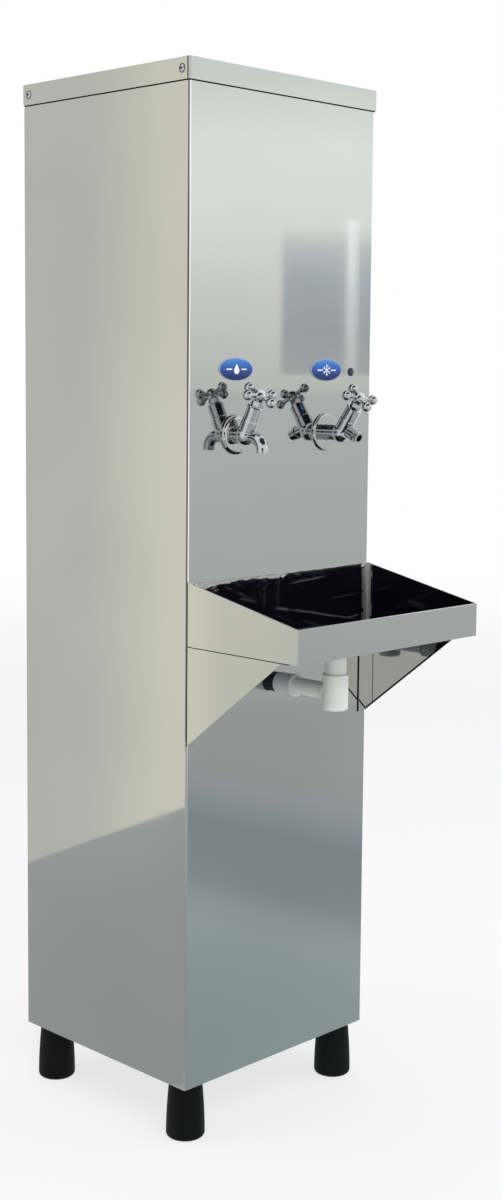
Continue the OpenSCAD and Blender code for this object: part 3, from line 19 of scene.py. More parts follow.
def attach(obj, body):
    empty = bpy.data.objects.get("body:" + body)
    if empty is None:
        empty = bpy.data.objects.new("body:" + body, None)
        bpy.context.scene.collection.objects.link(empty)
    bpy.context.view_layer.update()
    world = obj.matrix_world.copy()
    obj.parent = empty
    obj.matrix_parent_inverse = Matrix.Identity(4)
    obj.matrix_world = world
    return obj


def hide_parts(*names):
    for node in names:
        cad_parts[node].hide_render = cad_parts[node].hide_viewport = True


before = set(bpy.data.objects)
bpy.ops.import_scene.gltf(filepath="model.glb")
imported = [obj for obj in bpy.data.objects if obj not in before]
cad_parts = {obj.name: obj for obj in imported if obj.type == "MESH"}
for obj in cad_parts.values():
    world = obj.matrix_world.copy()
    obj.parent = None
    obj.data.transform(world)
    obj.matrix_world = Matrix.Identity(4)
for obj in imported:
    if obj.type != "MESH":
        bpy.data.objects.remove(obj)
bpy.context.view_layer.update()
LOG = logging.getLogger("water_cooler")
MM = 0.001
CABINET = "cabinet"
WIDTH = 330.0
FRONT_Y = -78.0
Triple = tuple[float, float, float]
Stops = Sequence[tuple[float, Triple]]
Edges = tuple[float, float, float, float]


class Side(Enum):
    """The two taps, with the sign of their place along X."""

    LEFT = -1
    RIGHT = 1


class Symbol(Enum):
    """The plain signs printed on the oval labels."""

    DROP = "drop"
    SNOWFLAKE = "snowflake"


class Grade(Enum):
    """The way of a card along which its tone changes."""

    ACROSS = "X"
    UP = "Y"


class Sock:
    """One output of a shader node, whose arithmetic adds Math nodes."""

    def __init__(self, graph: "Graph", socket: bpy.types.NodeSocket) -> None:
        """Keep the graph and the socket."""
        self.graph = graph
        self.socket = socket

    def _math(self, operation: str, first: Any, second: Any = 0.0) -> "Sock":
        """Add a Math node for two numbers or Socks."""
        return self.graph.node("ShaderNodeMath", {"operation": operation}, {0: first, 1: second})

    def __add__(self, other: Any) -> "Sock":
        """Sum."""
        return self._math("ADD", self, other)

    def __sub__(self, other: Any) -> "Sock":
        """Difference."""
        return self._math("SUBTRACT", self, other)

    def __rsub__(self, other: Any) -> "Sock":
        """Difference with the number first."""
        return self._math("SUBTRACT", other, self)

    def __mul__(self, other: Any) -> "Sock":
        """Product."""
        return self._math("MULTIPLY", self, other)

    def __truediv__(self, other: Any) -> "Sock":
        """Quotient."""
        return self._math("DIVIDE", self, other)

    def __rtruediv__(self, other: Any) -> "Sock":
        """Quotient with the number first."""
        return self._math("DIVIDE", other, self)

    __radd__ = __add__
    __rmul__ = __mul__

    def most(self, other: Any) -> "Sock":
        """The larger of two values."""
        return self._math("MAXIMUM", self, other)

    def size(self) -> "Sock":
        """The value without its sign."""
        return self._math("ABSOLUTE", self)

    def ramp(self, low: float, high: float, to_low: float = 0.0, to_high: float = 1.0) -> "Sock":
        """Map low..high smoothly to to_low..to_high, held at its ends."""
        inputs = {"Value": self, "From Min": low, "From Max": high, "To Min": to_low, "To Max": to_high}
        return self.graph.node("ShaderNodeMapRange", {"interpolation_type": "SMOOTHSTEP"}, inputs)


class Graph:
    """The node tree of a material or of the surroundings."""

    def __init__(self, owner: bpy.types.Material | bpy.types.World) -> None:
        """Clear the owner's tree.

        Args:
            owner: the material or world that the nodes belong to.
        """
        owner.use_nodes = True
        self.owner = owner
        self.tree = owner.node_tree
        self.tree.nodes.clear()

    @classmethod
    def of_finish(cls, name: str) -> "Graph":
        """Start a new material with an empty graph."""
        return cls(bpy.data.materials.new(name))

    def feed(self, socket: bpy.types.NodeSocket, value: Any) -> None:
        """Set a socket, or link a Sock to it.

        Args:
            socket: the input to feed.
            value: a number, a colour, a vector or a Sock.
        """
        if isinstance(value, Sock):
            self.tree.links.new(value.socket, socket)
        elif isinstance(value, tuple) and socket.type == "RGBA":
            socket.default_value = (*value, 1.0)
        else:
            socket.default_value = value

    def add(
        self,
        kind: str,
        settings: dict[str, Any] | None = None,
        inputs: dict[str | int, Any] | None = None,
    ) -> bpy.types.Node:
        """Add any node.

        Args:
            kind: Blender's node type.
            settings: properties to set first; stops holds a ramp's (place, colour) pairs in order.
            inputs: numbers, colours or Socks by socket name or number.

        Returns:
            The new node.
        """
        made = self.tree.nodes.new(kind)
        for key, value in (settings or {}).items():
            if key == "stops":
                self.grade(made.color_ramp, value)
            else:
                setattr(made, key, value)
        for key, value in (inputs or {}).items():
            self.feed(made.inputs[key], value)
        return made

    @staticmethod
    def grade(ramp: bpy.types.ColorRamp, stops: Stops) -> None:
        """Fill a colour ramp.

        Args:
            ramp: the ramp, with its two first stops.
            stops: (place, colour) pairs from 0 to 1.
        """
        ends = (stops[0], stops[-1])
        for stop, (_, colour) in zip(ramp.elements, ends):
            stop.color = (*colour, 1.0)
        for spot, colour in stops[1:-1]:
            ramp.elements.new(spot).color = (*colour, 1.0)

    def node(
        self,
        kind: str,
        settings: dict[str, Any] | None = None,
        inputs: dict[str | int, Any] | None = None,
        output: str | int = 0,
    ) -> Sock:
        """Add any node, as add does, and take one of its outputs."""
        return Sock(self, self.add(kind, settings, inputs).outputs[output])

    @functools.cached_property
    def place(self) -> Sock:
        """The place on the piece, in metres."""
        return self.node("ShaderNodeTexCoord", output="Object")

    def axis(self, name: str) -> Sock:
        """The place along X, Y or Z, in metres."""
        return self.node("ShaderNodeSeparateXYZ", None, {0: self.place}, name)

    def noise(
        self, scale: float, detail: float = 3.0, stretch: Triple = (1, 1, 1), rough: float = 0.5
    ) -> Sock:
        """Noise over the piece.

        Args:
            scale: cells per metre.
            detail: octaves.
            stretch: factor along each axis.
            rough: weight of the finer octaves.

        Returns:
            A value around 0.5.
        """
        spot = self.node("ShaderNodeMapping", None, {"Vector": self.place, "Scale": stretch})
        inputs = {"Vector": spot, "Scale": scale, "Detail": detail, "Roughness": rough}
        return self.node("ShaderNodeTexNoise", None, inputs, "Fac")

    def blend(self, mask: Any, first: Any, second: Any) -> Sock:
        """Mix two colours, with 0 in the mask for the first and 1 for the second."""
        return self.node("ShaderNodeMix", {"data_type": "RGBA"}, {0: mask, 6: first, 7: second}, 2)

    def bump(self, height: Sock, depth: float, strength: float = 1.0, under: Sock | None = None) -> Sock:
        """A normal from a height map.

        Args:
            height: value from 0 to 1.
            depth: metres that 1 stands for.
            strength: how much of it shows.
            under: a normal to add it to.

        Returns:
            The normal.
        """
        inputs: dict[str | int, Any] = {"Height": height, "Distance": depth, "Strength": strength}
        if under is not None:
            inputs["Normal"] = under
        return self.node("ShaderNodeBump", None, inputs)

    def seen(self) -> Sock:
        """Tell the rays that show the stage from those that only light it.

        Returns:
            1 for rays from the camera and for mirrored or transmitted ones, else 0.
        """
        path = self.add("ShaderNodeLightPath")
        names = ("Is Camera Ray", "Is Glossy Ray", "Is Transmission Ray")
        camera, mirrored, through = (Sock(self, path.outputs[name]) for name in names)
        return camera.most(mirrored).most(through)

    def close(self, shader: Sock) -> bpy.types.Material | bpy.types.World:
        """Link the last shader to the tree's output.

        Args:
            shader: the shader to show.

        Returns:
            The owner of the tree.
        """
        of_world = isinstance(self.owner, bpy.types.World)
        kind = "ShaderNodeOutputWorld" if of_world else "ShaderNodeOutputMaterial"
        self.add(kind, None, {"Surface": shader})
        return self.owner

    def surface(self, **values: Any) -> bpy.types.Material:
        """End the tree with a Principled shader, whose inputs have underscores for blanks."""
        inputs = {key.replace("_", " "): value for key, value in values.items()}
        return self.close(self.node("ShaderNodeBsdfPrincipled", None, inputs))


@dataclass(frozen=True)
class SheetSteel:
    """Bright annealed stainless sheet: nearly a mirror, slightly uneven, with faint rolling lines, and
    painted reflection lines along its upper front folds where given.
    """

    name: str
    colour: Triple = (0.46, 0.465, 0.46)
    roughness: float = 0.035
    sway: float = 0.05
    # shares of the colour for the painted dark and bright reflection lines along the upper front folds
    fold_reflection: tuple[float, float] | None = None
    # heights in metres over which those painted reflection lines fade in
    fold_reflection_foot: tuple[float, float] = (0.49, 0.52)

    def paint_fold_reflection(self, g: Graph, colour: Sock) -> Sock:
        """Paint the reflection in the upper front folds: a painted dark line on the side faces and a painted
        highlight on the front.

        Args:
            g: the material's graph.
            colour: the flat sheet's colour.

        Returns:
            The colour of the whole sheet.
        """
        inward = WIDTH / 2 * MM - g.axis("X").size()
        behind = g.axis("Y") - FRONT_Y * MM
        high = g.axis("Z").ramp(*self.fold_reflection_foot)
        dark_line_mask = (behind - 0.0016).size().ramp(0.0007, 0.0012, 1.0, 0.0)
        dark_line_mask = dark_line_mask * inward.ramp(0.0007, 0.0011, 1.0, 0.0)
        bright_line_mask = (inward - 0.0017).size().ramp(0.0006, 0.0011, 1.0, 0.0)
        bright_line_mask = bright_line_mask * (behind - 0.0002).size().ramp(0.0004, 0.0007, 1.0, 0.0)
        # darker and lighter copies of the colour: painted dark reflection beside the folds, painted highlight
        # on their front
        dark, pale = (tuple(min(0.9, c * share) for c in self.colour) for share in self.fold_reflection)
        return g.blend(bright_line_mask * high, g.blend(dark_line_mask * high, colour, dark), pale)

    def build(self) -> bpy.types.Material:
        """Make the material.

        Returns:
            The new material.
        """
        g = Graph.of_finish(self.name)
        cloud = g.noise(2.6, 2.0)
        lines = g.noise(1.0, 3.0, (420.0, 420.0, 3.0), 0.6)
        wiped = g.noise(7.0, 5.0, (1.0, 1.0, 0.45), 0.65).ramp(0.5, 0.72)
        specks = g.noise(950.0, 2.0).ramp(0.68, 0.8)
        dull = tuple(c * 0.965 for c in self.colour)
        bright = tuple(min(1.0, c * 1.03) for c in self.colour)
        colour = g.blend(cloud.ramp(0.35, 0.65), dull, bright)
        if self.fold_reflection:
            colour = self.paint_fold_reflection(g, colour)
        rough = self.roughness + wiped * 0.04 + (lines - 0.5) * 0.025 + specks * 0.05
        sway = g.bump(g.noise(3.2, 1.5, (1.0, 1.0, 0.6)), 0.0044, self.sway)
        grain = g.bump(lines, 0.00002, 0.2, sway)
        return g.surface(Base_Color=colour, Metallic=1.0, Roughness=rough, Normal=grain)


@dataclass(frozen=True)
class Plating:
    """Polished plated or machined metal with handling marks and a little tarnish."""

    name: str
    colour: Triple
    tarnish: Triple
    roughness: float = 0.04
    marks: float = 0.05
    age: float = 0.25

    def build(self) -> bpy.types.Material:
        """Make the material.

        Returns:
            The new material.
        """
        g = Graph.of_finish(self.name)
        worn = g.noise(45.0, 5.0, rough=0.6)
        spots = g.noise(420.0, 2.0).ramp(0.64, 0.76)
        drift = g.noise(160.0, 2.0)
        colour = g.blend(worn.ramp(0.45, 0.8, 0.0, self.age), self.colour, self.tarnish)
        rough = self.roughness + worn.ramp(0.4, 0.75) * self.marks + spots * 0.1
        skin = g.bump(drift, 0.0001, 0.12)
        return g.surface(Base_Color=colour, Metallic=1.0, Roughness=rough, Normal=skin)


@dataclass(frozen=True)
class Moulding:
    """Moulded plastic or rubber with a fine skin, faint flow marks and some dust."""

    name: str
    colour: Triple
    dust: Triple
    roughness: float = 0.4
    grain: float = 900.0
    relief: float = 0.00005
    dusty: float = 0.3
    shine: float = 0.5
    coat: float = 0.0

    def build(self) -> bpy.types.Material:
        """Make the material.

        Returns:
            The new material.
        """
        g = Graph.of_finish(self.name)
        cloud = g.noise(22.0, 4.0)
        skin = g.noise(self.grain, 3.0)
        colour = g.blend(cloud.ramp(0.45, 0.85, 0.0, self.dusty), self.colour, self.dust)
        rough = self.roughness + (cloud - 0.5) * 0.18 + (skin - 0.5) * 0.12
        return g.surface(
            Base_Color=colour,
            Roughness=rough,
            Normal=g.bump(skin, self.relief, 0.5),
            Specular_IOR_Level=self.shine,
            Coat_Weight=self.coat,
            Coat_Roughness=0.08,
        )


@dataclass(frozen=True)
class LinerFilm:
    """Black protective film: glossy, with a painted highlight along its folds, silvery where its edge is
    torn.
    """

    name: str
    rim_z: float
    slope: float
    front_y: float

    def build(self) -> bpy.types.Material:
        """Make the material.

        Returns:
            The new material.
        """
        g = Graph.of_finish(self.name)
        depth = self.front_y - g.axis("Y")
        below = self.rim_z - self.slope * depth - g.axis("Z")
        ragged = g.noise(34.0, 3.0, (1.0, 1.0, 0.4))
        torn = (below + (ragged - 0.5) * 0.02).ramp(0.005, 0.0065, 1.0, 0.0)
        torn = torn * (g.axis("X") + (ragged - 0.5) * 0.06).ramp(0.0, 0.03, 1.0, 0.0)
        torn = torn * depth.ramp(0.006, 0.012, 1.0, 0.0)
        # The fold attribute is a painted highlight: it lightens the black towards pale grey along each fold.
        fold = g.node("ShaderNodeAttribute", {"attribute_name": "fold"}, None, "Fac")
        scuffs = (g.noise(34.0, 4.0, (1.0, 1.0, 2.2)) - 0.5).size().ramp(0.0, 0.009, 1.0, 0.0)
        haze = g.noise(9.0, 4.0, (1.0, 1.0, 1.8)).ramp(0.5, 0.78)
        black = g.blend(fold + scuffs * 0.012 + haze * 0.01, (0.004, 0.004, 0.008), (0.42, 0.42, 0.44))
        colour = g.blend(torn, black, (0.70, 0.71, 0.70))
        rough = 0.07 + haze * 0.12 + torn * 0.2
        normal = g.bump(scuffs, 0.0002, 0.12)
        return g.surface(
            Base_Color=colour,
            Roughness=rough,
            Metallic=torn * 0.8,
            Normal=normal,
            Specular_IOR_Level=0.4,
            Coat_Weight=0.3,
            Coat_Roughness=0.04,
        )


@dataclass(frozen=True)
class LabelResin:
    """Domed blue resin, lighter above and darker below, with a pale edge."""

    name: str
    centre: tuple[float, float]
    half_w: float
    half_h: float
    shades: Stops = (
        (0.0, (0.003, 0.018, 0.105)),
        (0.2, (0.004, 0.026, 0.15)),
        (0.5, (0.012, 0.075, 0.34)),
        (0.8, (0.034, 0.17, 0.56)),
        (1.0, (0.06, 0.24, 0.66)),
    )

    def build(self) -> bpy.types.Material:
        """Make the material.

        Returns:
            The new material.
        """
        g = Graph.of_finish(self.name)
        over = (g.axis("X") - self.centre[0]) / self.half_w
        up = (g.axis("Z") - self.centre[1]) / self.half_h
        reach = up * up + over * over
        body = g.node("ShaderNodeValToRGB", {"stops": self.shades}, {0: up * 0.5 + 0.5})
        colour = g.blend(reach.ramp(0.9, 0.96), body, (0.34, 0.46, 0.62))
        rough = 0.22 + g.noise(60.0, 4.0).ramp(0.45, 0.75) * 0.1
        return g.surface(
            Base_Color=colour, Roughness=rough, Specular_IOR_Level=0.3, Coat_Weight=0.1, Coat_Roughness=0.1
        )


@dataclass(frozen=True)
class CardTone:
    """A plain glowing card, graded along one of its own ways and fading out at its edges."""

    name: str
    size: tuple[float, float]
    grade: Grade
    stops: Stops
    fade: Edges
    skew: float = 0.0

    def build(self) -> bpy.types.Material:
        """Make the material.

        Returns:
            The new material.
        """
        g = Graph.of_finish(self.name)
        cover: Any = 1.0
        for way, length, fade in zip(Grade, self.size, (self.fade[:2], self.fade[2:])):
            spot = g.axis(way.value)
            if way is self.grade:
                along = (spot - g.axis("X") * self.skew) / length + 0.5
                glow = g.node("ShaderNodeValToRGB", {"stops": self.stops}, {0: along})
            if fade[0]:
                cover = (spot + length / 2).ramp(0.0, fade[0]) * cover
            if fade[1]:
                cover = (length / 2 - spot).ramp(0.0, fade[1]) * cover
        return g.surface(
            Base_Color=(0.0, 0.0, 0.0),
            Roughness=1.0,
            Specular_IOR_Level=0.0,
            Emission_Color=glow,
            Emission_Strength=2.0,
            Alpha=cover,
        )


@dataclass(frozen=True)
class PaleFloor:
    """Pale floor that keeps the shadow and fades into the white surroundings far away."""

    name: str = "pale_floor"
    tone: float = 0.86
    white: float = 0.7
    fade: tuple[float, float] = (2.0, 6.0)

    def build(self) -> bpy.types.Material:
        """Make the material.

        Returns:
            The new material.
        """
        g = Graph.of_finish(self.name)
        matt = g.node("ShaderNodeBsdfDiffuse", None, {"Color": (self.tone,) * 3})
        plain = g.node("ShaderNodeEmission", None, {"Color": (1.0, 1.0, 1.0), "Strength": 1.0})
        shaded = g.node("ShaderNodeMixShader", None, {0: g.seen() * self.white, 1: matt, 2: plain})
        far = g.node("ShaderNodeVectorMath", {"operation": "LENGTH"}, {0: g.place}, "Value")
        clear = g.node("ShaderNodeBsdfTransparent")
        return g.close(g.node("ShaderNodeMixShader", None, {0: far.ramp(*self.fade), 1: shaded, 2: clear}))


class Finish(Enum):
    """Every finish that several pieces share."""

    # the cabinet sheet, with painted dark and bright reflection lines along its upper front folds
    STEEL = SheetSteel("stainless_sheet", sway=0.08, fold_reflection=(0.3, 1.9))
    PLAIN_STEEL = SheetSteel("stainless_plain", (0.48, 0.48, 0.47), 0.18, 0.02)
    GROUND_STEEL = SheetSteel("ground_weld", (0.66, 0.66, 0.65), 0.5, 0.02)
    CHROME = Plating("chrome_plate", (0.53, 0.54, 0.565), (0.40, 0.40, 0.40))
    BRASS = Plating("machined_brass", (0.72, 0.55, 0.24), (0.30, 0.20, 0.08), 0.22, 0.15, 0.6)
    COPPER = Plating("drawn_copper", (0.70, 0.36, 0.22), (0.25, 0.12, 0.08), 0.25, 0.15, 0.6)
    ALUMINIUM = Plating("fin_aluminium", (0.62, 0.63, 0.65), (0.4, 0.4, 0.4), 0.28, 0.15, 0.4)
    WHITE_PVC = Moulding("white_pvc_moulding", (0.80, 0.82, 0.79), (0.62, 0.60, 0.54), 0.3, 700.0, 0.00003)
    GREY_PVC = Moulding("grey_pvc_moulding", (0.66, 0.68, 0.69), (0.54, 0.56, 0.57), 0.28, 700.0, 0.00003)
    BLACK_PLASTIC = Moulding(
        "black_moulding", (0.003, 0.003, 0.0035), (0.016, 0.016, 0.015), 0.55, 1100.0, 0.00008, 0.5, 0.12
    )
    RUBBER = Moulding(
        "dark_rubber", (0.010, 0.013, 0.024), (0.04, 0.045, 0.06), 0.5, 800.0, 0.00006, 0.4, 0.3
    )
    ENAMEL = Moulding(
        "black_enamel", (0.012, 0.012, 0.013), (0.05, 0.05, 0.05), 0.25, 400.0, 0.00005, 0.3, 0.5, 0.4
    )
    TANK = Moulding("tank_plastic", (0.74, 0.76, 0.78), (0.6, 0.62, 0.64), 0.45, 500.0)
    FOAM = Moulding("rigid_foam", (0.80, 0.77, 0.66), (0.66, 0.60, 0.46), 0.8, 260.0, 0.0006, 0.5)
    BUTTON = Moulding(
        "pale_button", (0.62, 0.62, 0.72), (0.45, 0.45, 0.56), 0.2, 600.0, 0.00002, 0.3, 0.5, 0.5
    )
    LENS = Moulding(
        "lamp_lens", (0.022, 0.032, 0.075), (0.05, 0.07, 0.14), 0.16, 400.0, 0.00003, 0.6, 0.4, 0.4
    )
    ORANGE = Moulding("float_plastic", (0.62, 0.17, 0.03), (0.45, 0.16, 0.06), 0.35, 600.0)
    PRINT = Moulding("white_print", (0.88, 0.9, 0.92), (0.78, 0.81, 0.87), 0.3, 900.0, 0.00002)
    # flat black for strips of painted shadow in gaps, under edges and round screw heads
    SEAM = Moulding("shadow_seam", (0.006, 0.006, 0.006), (0.02, 0.02, 0.018), 0.7, 900.0, 0.00004, 0.5, 0.1)


@functools.cache
def material_of(finish: Finish) -> bpy.types.Material:
    """Build a shared finish at its first use."""
    return finish.value.build()


class Shape:
    """A mesh in millimetres that becomes one piece of the cooler."""

    def __init__(self) -> None:
        """Start with nothing."""
        self.bm = bmesh.new()

    @classmethod
    def of_node(cls, node: str) -> "Shape":
        """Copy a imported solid, with its triangles merged into faces.

        Args:
            node: the solid's name.

        Returns:
            The copy.
        """
        made = cls()
        made.bm.from_mesh(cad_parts[node].data)
        made.bm.transform(Matrix.Scale(1 / MM, 4))
        bmesh.ops.remove_doubles(made.bm, verts=made.bm.verts[:], dist=0.002)
        bmesh.ops.dissolve_limit(
            made.bm, angle_limit=math.radians(0.6), verts=made.bm.verts[:], edges=made.bm.edges[:]
        )
        return made

    @classmethod
    def block(cls, low: Sequence[float], high: Sequence[float]) -> "Shape":
        """Make a block.

        Args:
            low: its corner with the least X, Y and Z.
            high: its corner with the greatest.

        Returns:
            The block.
        """
        made = cls()
        centre = (Vector(low) + Vector(high)) / 2
        size = Vector(high) - Vector(low)
        place = Matrix.Translation(centre) @ Matrix.Diagonal((*size, 1.0))
        bmesh.ops.create_cube(made.bm, size=1.0, matrix=place)
        return made

    def revolve(self, outline: Iterable[tuple[float, float]], steps: int = 64) -> "Shape":
        """Spin an open outline round Z.

        Args:
            outline: (radius, height) points, from one end of the axis to the other.
            steps: faces round the axis.

        Returns:
            This shape.
        """
        bm = self.bm
        ring = [bm.verts.new((r, 0.0, h)) for r, h in outline]
        edges = [bm.edges.new(pair) for pair in zip(ring, ring[1:])]
        bmesh.ops.spin(
            bm,
            geom=ring + edges,
            cent=(0, 0, 0),
            axis=(0, 0, 1),
            angle=math.tau,
            steps=steps,
            use_merge=True,
        )
        bmesh.ops.remove_doubles(bm, verts=bm.verts[:], dist=0.0005)
        bmesh.ops.recalc_face_normals(bm, faces=bm.faces[:])
        return self

    def soften(self, width: float, segments: int = 2, angle: float = 32.0) -> "Shape":
        """Round the edges that are sharper than an angle.

        Args:
            width: width of the round in millimetres.
            segments: faces across it.
            angle: least angle in degrees.

        Returns:
            This shape.
        """
        least = math.radians(angle)
        folds = [e for e in self.bm.edges if len(e.link_faces) == 2]
        bmesh.ops.bevel(
            self.bm,
            geom=[e for e in folds if e.calc_face_angle(0.0) > least],
            offset=width,
            offset_type="OFFSET",
            affect="EDGES",
            segments=segments,
            profile=0.5,
            material=-1,
            clamp_overlap=True,
        )
        return self

    def move(self, matrix: Matrix) -> "Shape":
        """Transform the whole shape, in millimetres."""
        self.bm.transform(matrix)
        return self

    def join(self, other: "Shape") -> "Shape":
        """Add another shape's faces to this one.

        Args:
            other: the shape to use up.

        Returns:
            This shape.
        """
        spare = bpy.data.meshes.new("spare")
        other.bm.to_mesh(spare)
        other.bm.free()
        self.bm.from_mesh(spare)
        bpy.data.meshes.remove(spare)
        return self

    def piece(
        self,
        name: str,
        material: bpy.types.Material,
        slot: str,
        body: str = CABINET,
        stands_for: Sequence[str] = (),
        crisp: bool = True,
    ) -> bpy.types.Object:
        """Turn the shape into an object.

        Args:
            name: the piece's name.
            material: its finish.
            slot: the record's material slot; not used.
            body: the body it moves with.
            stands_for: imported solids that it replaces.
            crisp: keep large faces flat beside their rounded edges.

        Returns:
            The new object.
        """
        self.bm.transform(Matrix.Scale(MM, 4))
        for face in self.bm.faces:
            face.smooth = True
        mesh = bpy.data.meshes.new(name)
        self.bm.to_mesh(mesh)
        self.bm.free()
        obj = bpy.data.objects.new(name, mesh)
        bpy.context.collection.objects.link(obj)
        mesh.materials.append(material)
        if crisp:
            even = obj.modifiers.new("even", "WEIGHTED_NORMAL")
            even.weight = 100
            even.keep_sharp = True
        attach(obj, body)
        if stands_for:
            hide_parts(*stands_for)
        LOG.info("%s: %d faces", name, len(mesh.polygons))
        return obj


def paint(node: str, finish: Finish) -> None:
    """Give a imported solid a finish.

    Args:
        node: the solid's name.
        finish: its finish.
    """
    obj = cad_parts[node]
    if not obj.material_slots:
        obj.data.materials.append(material_of(finish))
    for holder in obj.material_slots:
        holder.material = material_of(finish)
    LOG.info("%s: %s", node, finish.value.name)


def outward(x: float, y: float, z: float) -> Matrix:
    """Place something on an upright face that looks along -Y, with its Z out of the face and its Y up."""
    return Matrix.Translation((x, y, z)) @ Matrix.Rotation(math.radians(90), 4, "X")


@dataclass
class Cabinet:
    """Folded cabinet, lid, feet and what is inside."""

    width: float = WIDTH
    front_y: float = FRONT_Y
    back_y: float = 232.0
    total_h: float = 1320.0
    lid_h: float = 26.0
    overhang: float = 2.0
    sheet_round: float = 0.3
    # height of the strip of painted shadow under the lid's edge
    shadow_line_h: float = 1.3
    screw_inset: float = 13.0
    screw_head_r: float = 4.5
    screw_head_h: float = 2.2
    recess: tuple[float, float] = (2.65, 0.7)
    plain: dict[Finish, Sequence[str]] = field(
        default_factory=lambda: {
            Finish.STEEL: ("rear_cover",),
            Finish.PLAIN_STEEL: ("base_pan", "tank_shelf", "drain_strainer", "cooling_coil"),
            Finish.CHROME: ("cover_screws", "foot_bolts"),
            Finish.BRASS: ("tap_back_nuts", "float_valve", "inlet_nipple"),
            Finish.COPPER: ("refrigerant_lines", "ambient_feed_pipe", "chilled_feed_pipe"),
            Finish.ALUMINIUM: ("condenser",),
            Finish.WHITE_PVC: ("drain_pipe",),
            Finish.RUBBER: ("drain_seal", "compressor_mounts"),
            Finish.TANK: ("water_tank", "thermostat"),
            Finish.FOAM: ("tank_lid", "tank_insulation"),
            Finish.ORANGE: ("float_arm",),
            Finish.ENAMEL: ("compressor", "fan_motor"),
            Finish.BLACK_PLASTIC: (
                "fan_blade", "thermostat_knob", "cord_gland",
                "foot_front_left", "foot_front_right", "foot_rear_left", "foot_rear_right",
            ),
        }
    )

    def dress_solids(self) -> None:
        """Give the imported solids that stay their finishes."""
        for finish, nodes in self.plain.items():
            for node in nodes:
                paint(node, finish)

    def build_sheets(self) -> None:
        """Make the folded sheets with their slightly rounded cut edges."""
        for node in ("cabinet_wrap", "lid"):
            sheet = Shape.of_node(node).soften(self.sheet_round)
            sheet.piece(node + "_sheet", material_of(Finish.STEEL), "stainless", stands_for=[node])

    def build_seams(self) -> None:
        """Make the painted shadow under the lid's edge and the dark lines in its front corner joints."""
        half = self.width / 2
        foot = self.total_h - self.lid_h
        edge = half + self.overhang
        corner_y = self.front_y - self.overhang + 2.6
        front = self.front_y
        # painted shadow under the lid's edge on the front and sides, and dark lines in its front corner
        # joints
        lid_shadow_lines = Shape.block((-half, front - 0.06, foot - self.shadow_line_h), (half, front + 0.2, foot))
        for sign in (-1, 1):
            inner, outer = sorted((sign * (half - 0.2), sign * (half + 0.06)))
            lid_shadow_lines.join(Shape.block((inner, front, foot - self.shadow_line_h), (outer, self.back_y, foot)))
            low = (sign * edge - 0.06, corner_y - 0.3, foot + 0.4)
            high = (sign * edge + 0.06, corner_y + 0.3, self.total_h - 1.2)
            lid_shadow_lines.join(Shape.block(low, high))
        lid_shadow_lines.piece("lid_shadow_seams", material_of(Finish.SEAM), "black_plastic")

    def build_screw_shadows(self) -> None:
        """Make the painted shadow round each lid screw's head and the painted shade in its recess."""
        marks = Shape()
        inner, outer = self.screw_head_r + 0.03, self.screw_head_r + 0.9
        gap = ((inner, 0.02), (inner, 0.3), (outer, 0.06), (outer, 0.02), (inner, 0.02))
        low, high = self.screw_head_h / 2 + 0.02, self.screw_head_h / 2 + 0.3
        arm, half = self.recess
        ends = (self.front_y - self.overhang, self.back_y + self.overhang)
        for sign in (-1, 1):
            for y in (ends[0] + self.screw_inset, ends[1] - self.screw_inset):
                # dark ring of painted shadow round the head and dark cross of painted shade in the recess
                mark = Shape().revolve(gap, 32)
                mark.join(Shape.block((-arm, -half, low), (arm, half, high)))
                mark.join(Shape.block((-half, half + 0.02, low), (half, arm, high)))
                mark.join(Shape.block((-half, -arm, low), (half, -half - 0.02, high)))
                place = (sign * (self.width / 2 + self.overhang), y, self.total_h - self.lid_h / 2)
                turn = Matrix.Rotation(math.radians(90.0 * sign), 4, "Y")
                marks.join(mark.move(Matrix.Translation(place) @ turn))
        marks.piece("lid_screw_shadows", material_of(Finish.SEAM), "black_plastic")

    def build(self) -> None:
        """Make every piece of the cabinet."""
        self.dress_solids()
        self.build_sheets()
        self.build_seams()
        self.build_screw_shadows()


@dataclass(frozen=True)
class Fold:
    """One sharp fold in the liner, between two points on its walls, with a painted highlight along it."""

    start: Triple
    end: Triple
    height: float = 0.8
    width: float = 2.6
    # share of pale grey painted along the fold as a highlight
    pale: float = 0.12
    waver: float = 1.2

    def nearness(self, spot: Vector) -> float:
        """Tell how near a point is.

        Args:
            spot: the point.

        Returns:
            1 on the fold, falling to 0 at its width and towards its ends.
        """
        start = Vector(self.start)
        run = Vector(self.end) - start
        away = spot + noise.noise_vector(spot * 0.05) * self.waver - start
        share = max(0.0, min(1.0, away.dot(run) / run.length_squared))
        taper = min(1.0, 0.15 + 4.0 * share, 0.15 + 4.0 * (1.0 - share))
        return taper * max(0.0, 1.0 - (away - run * share).length / self.width)


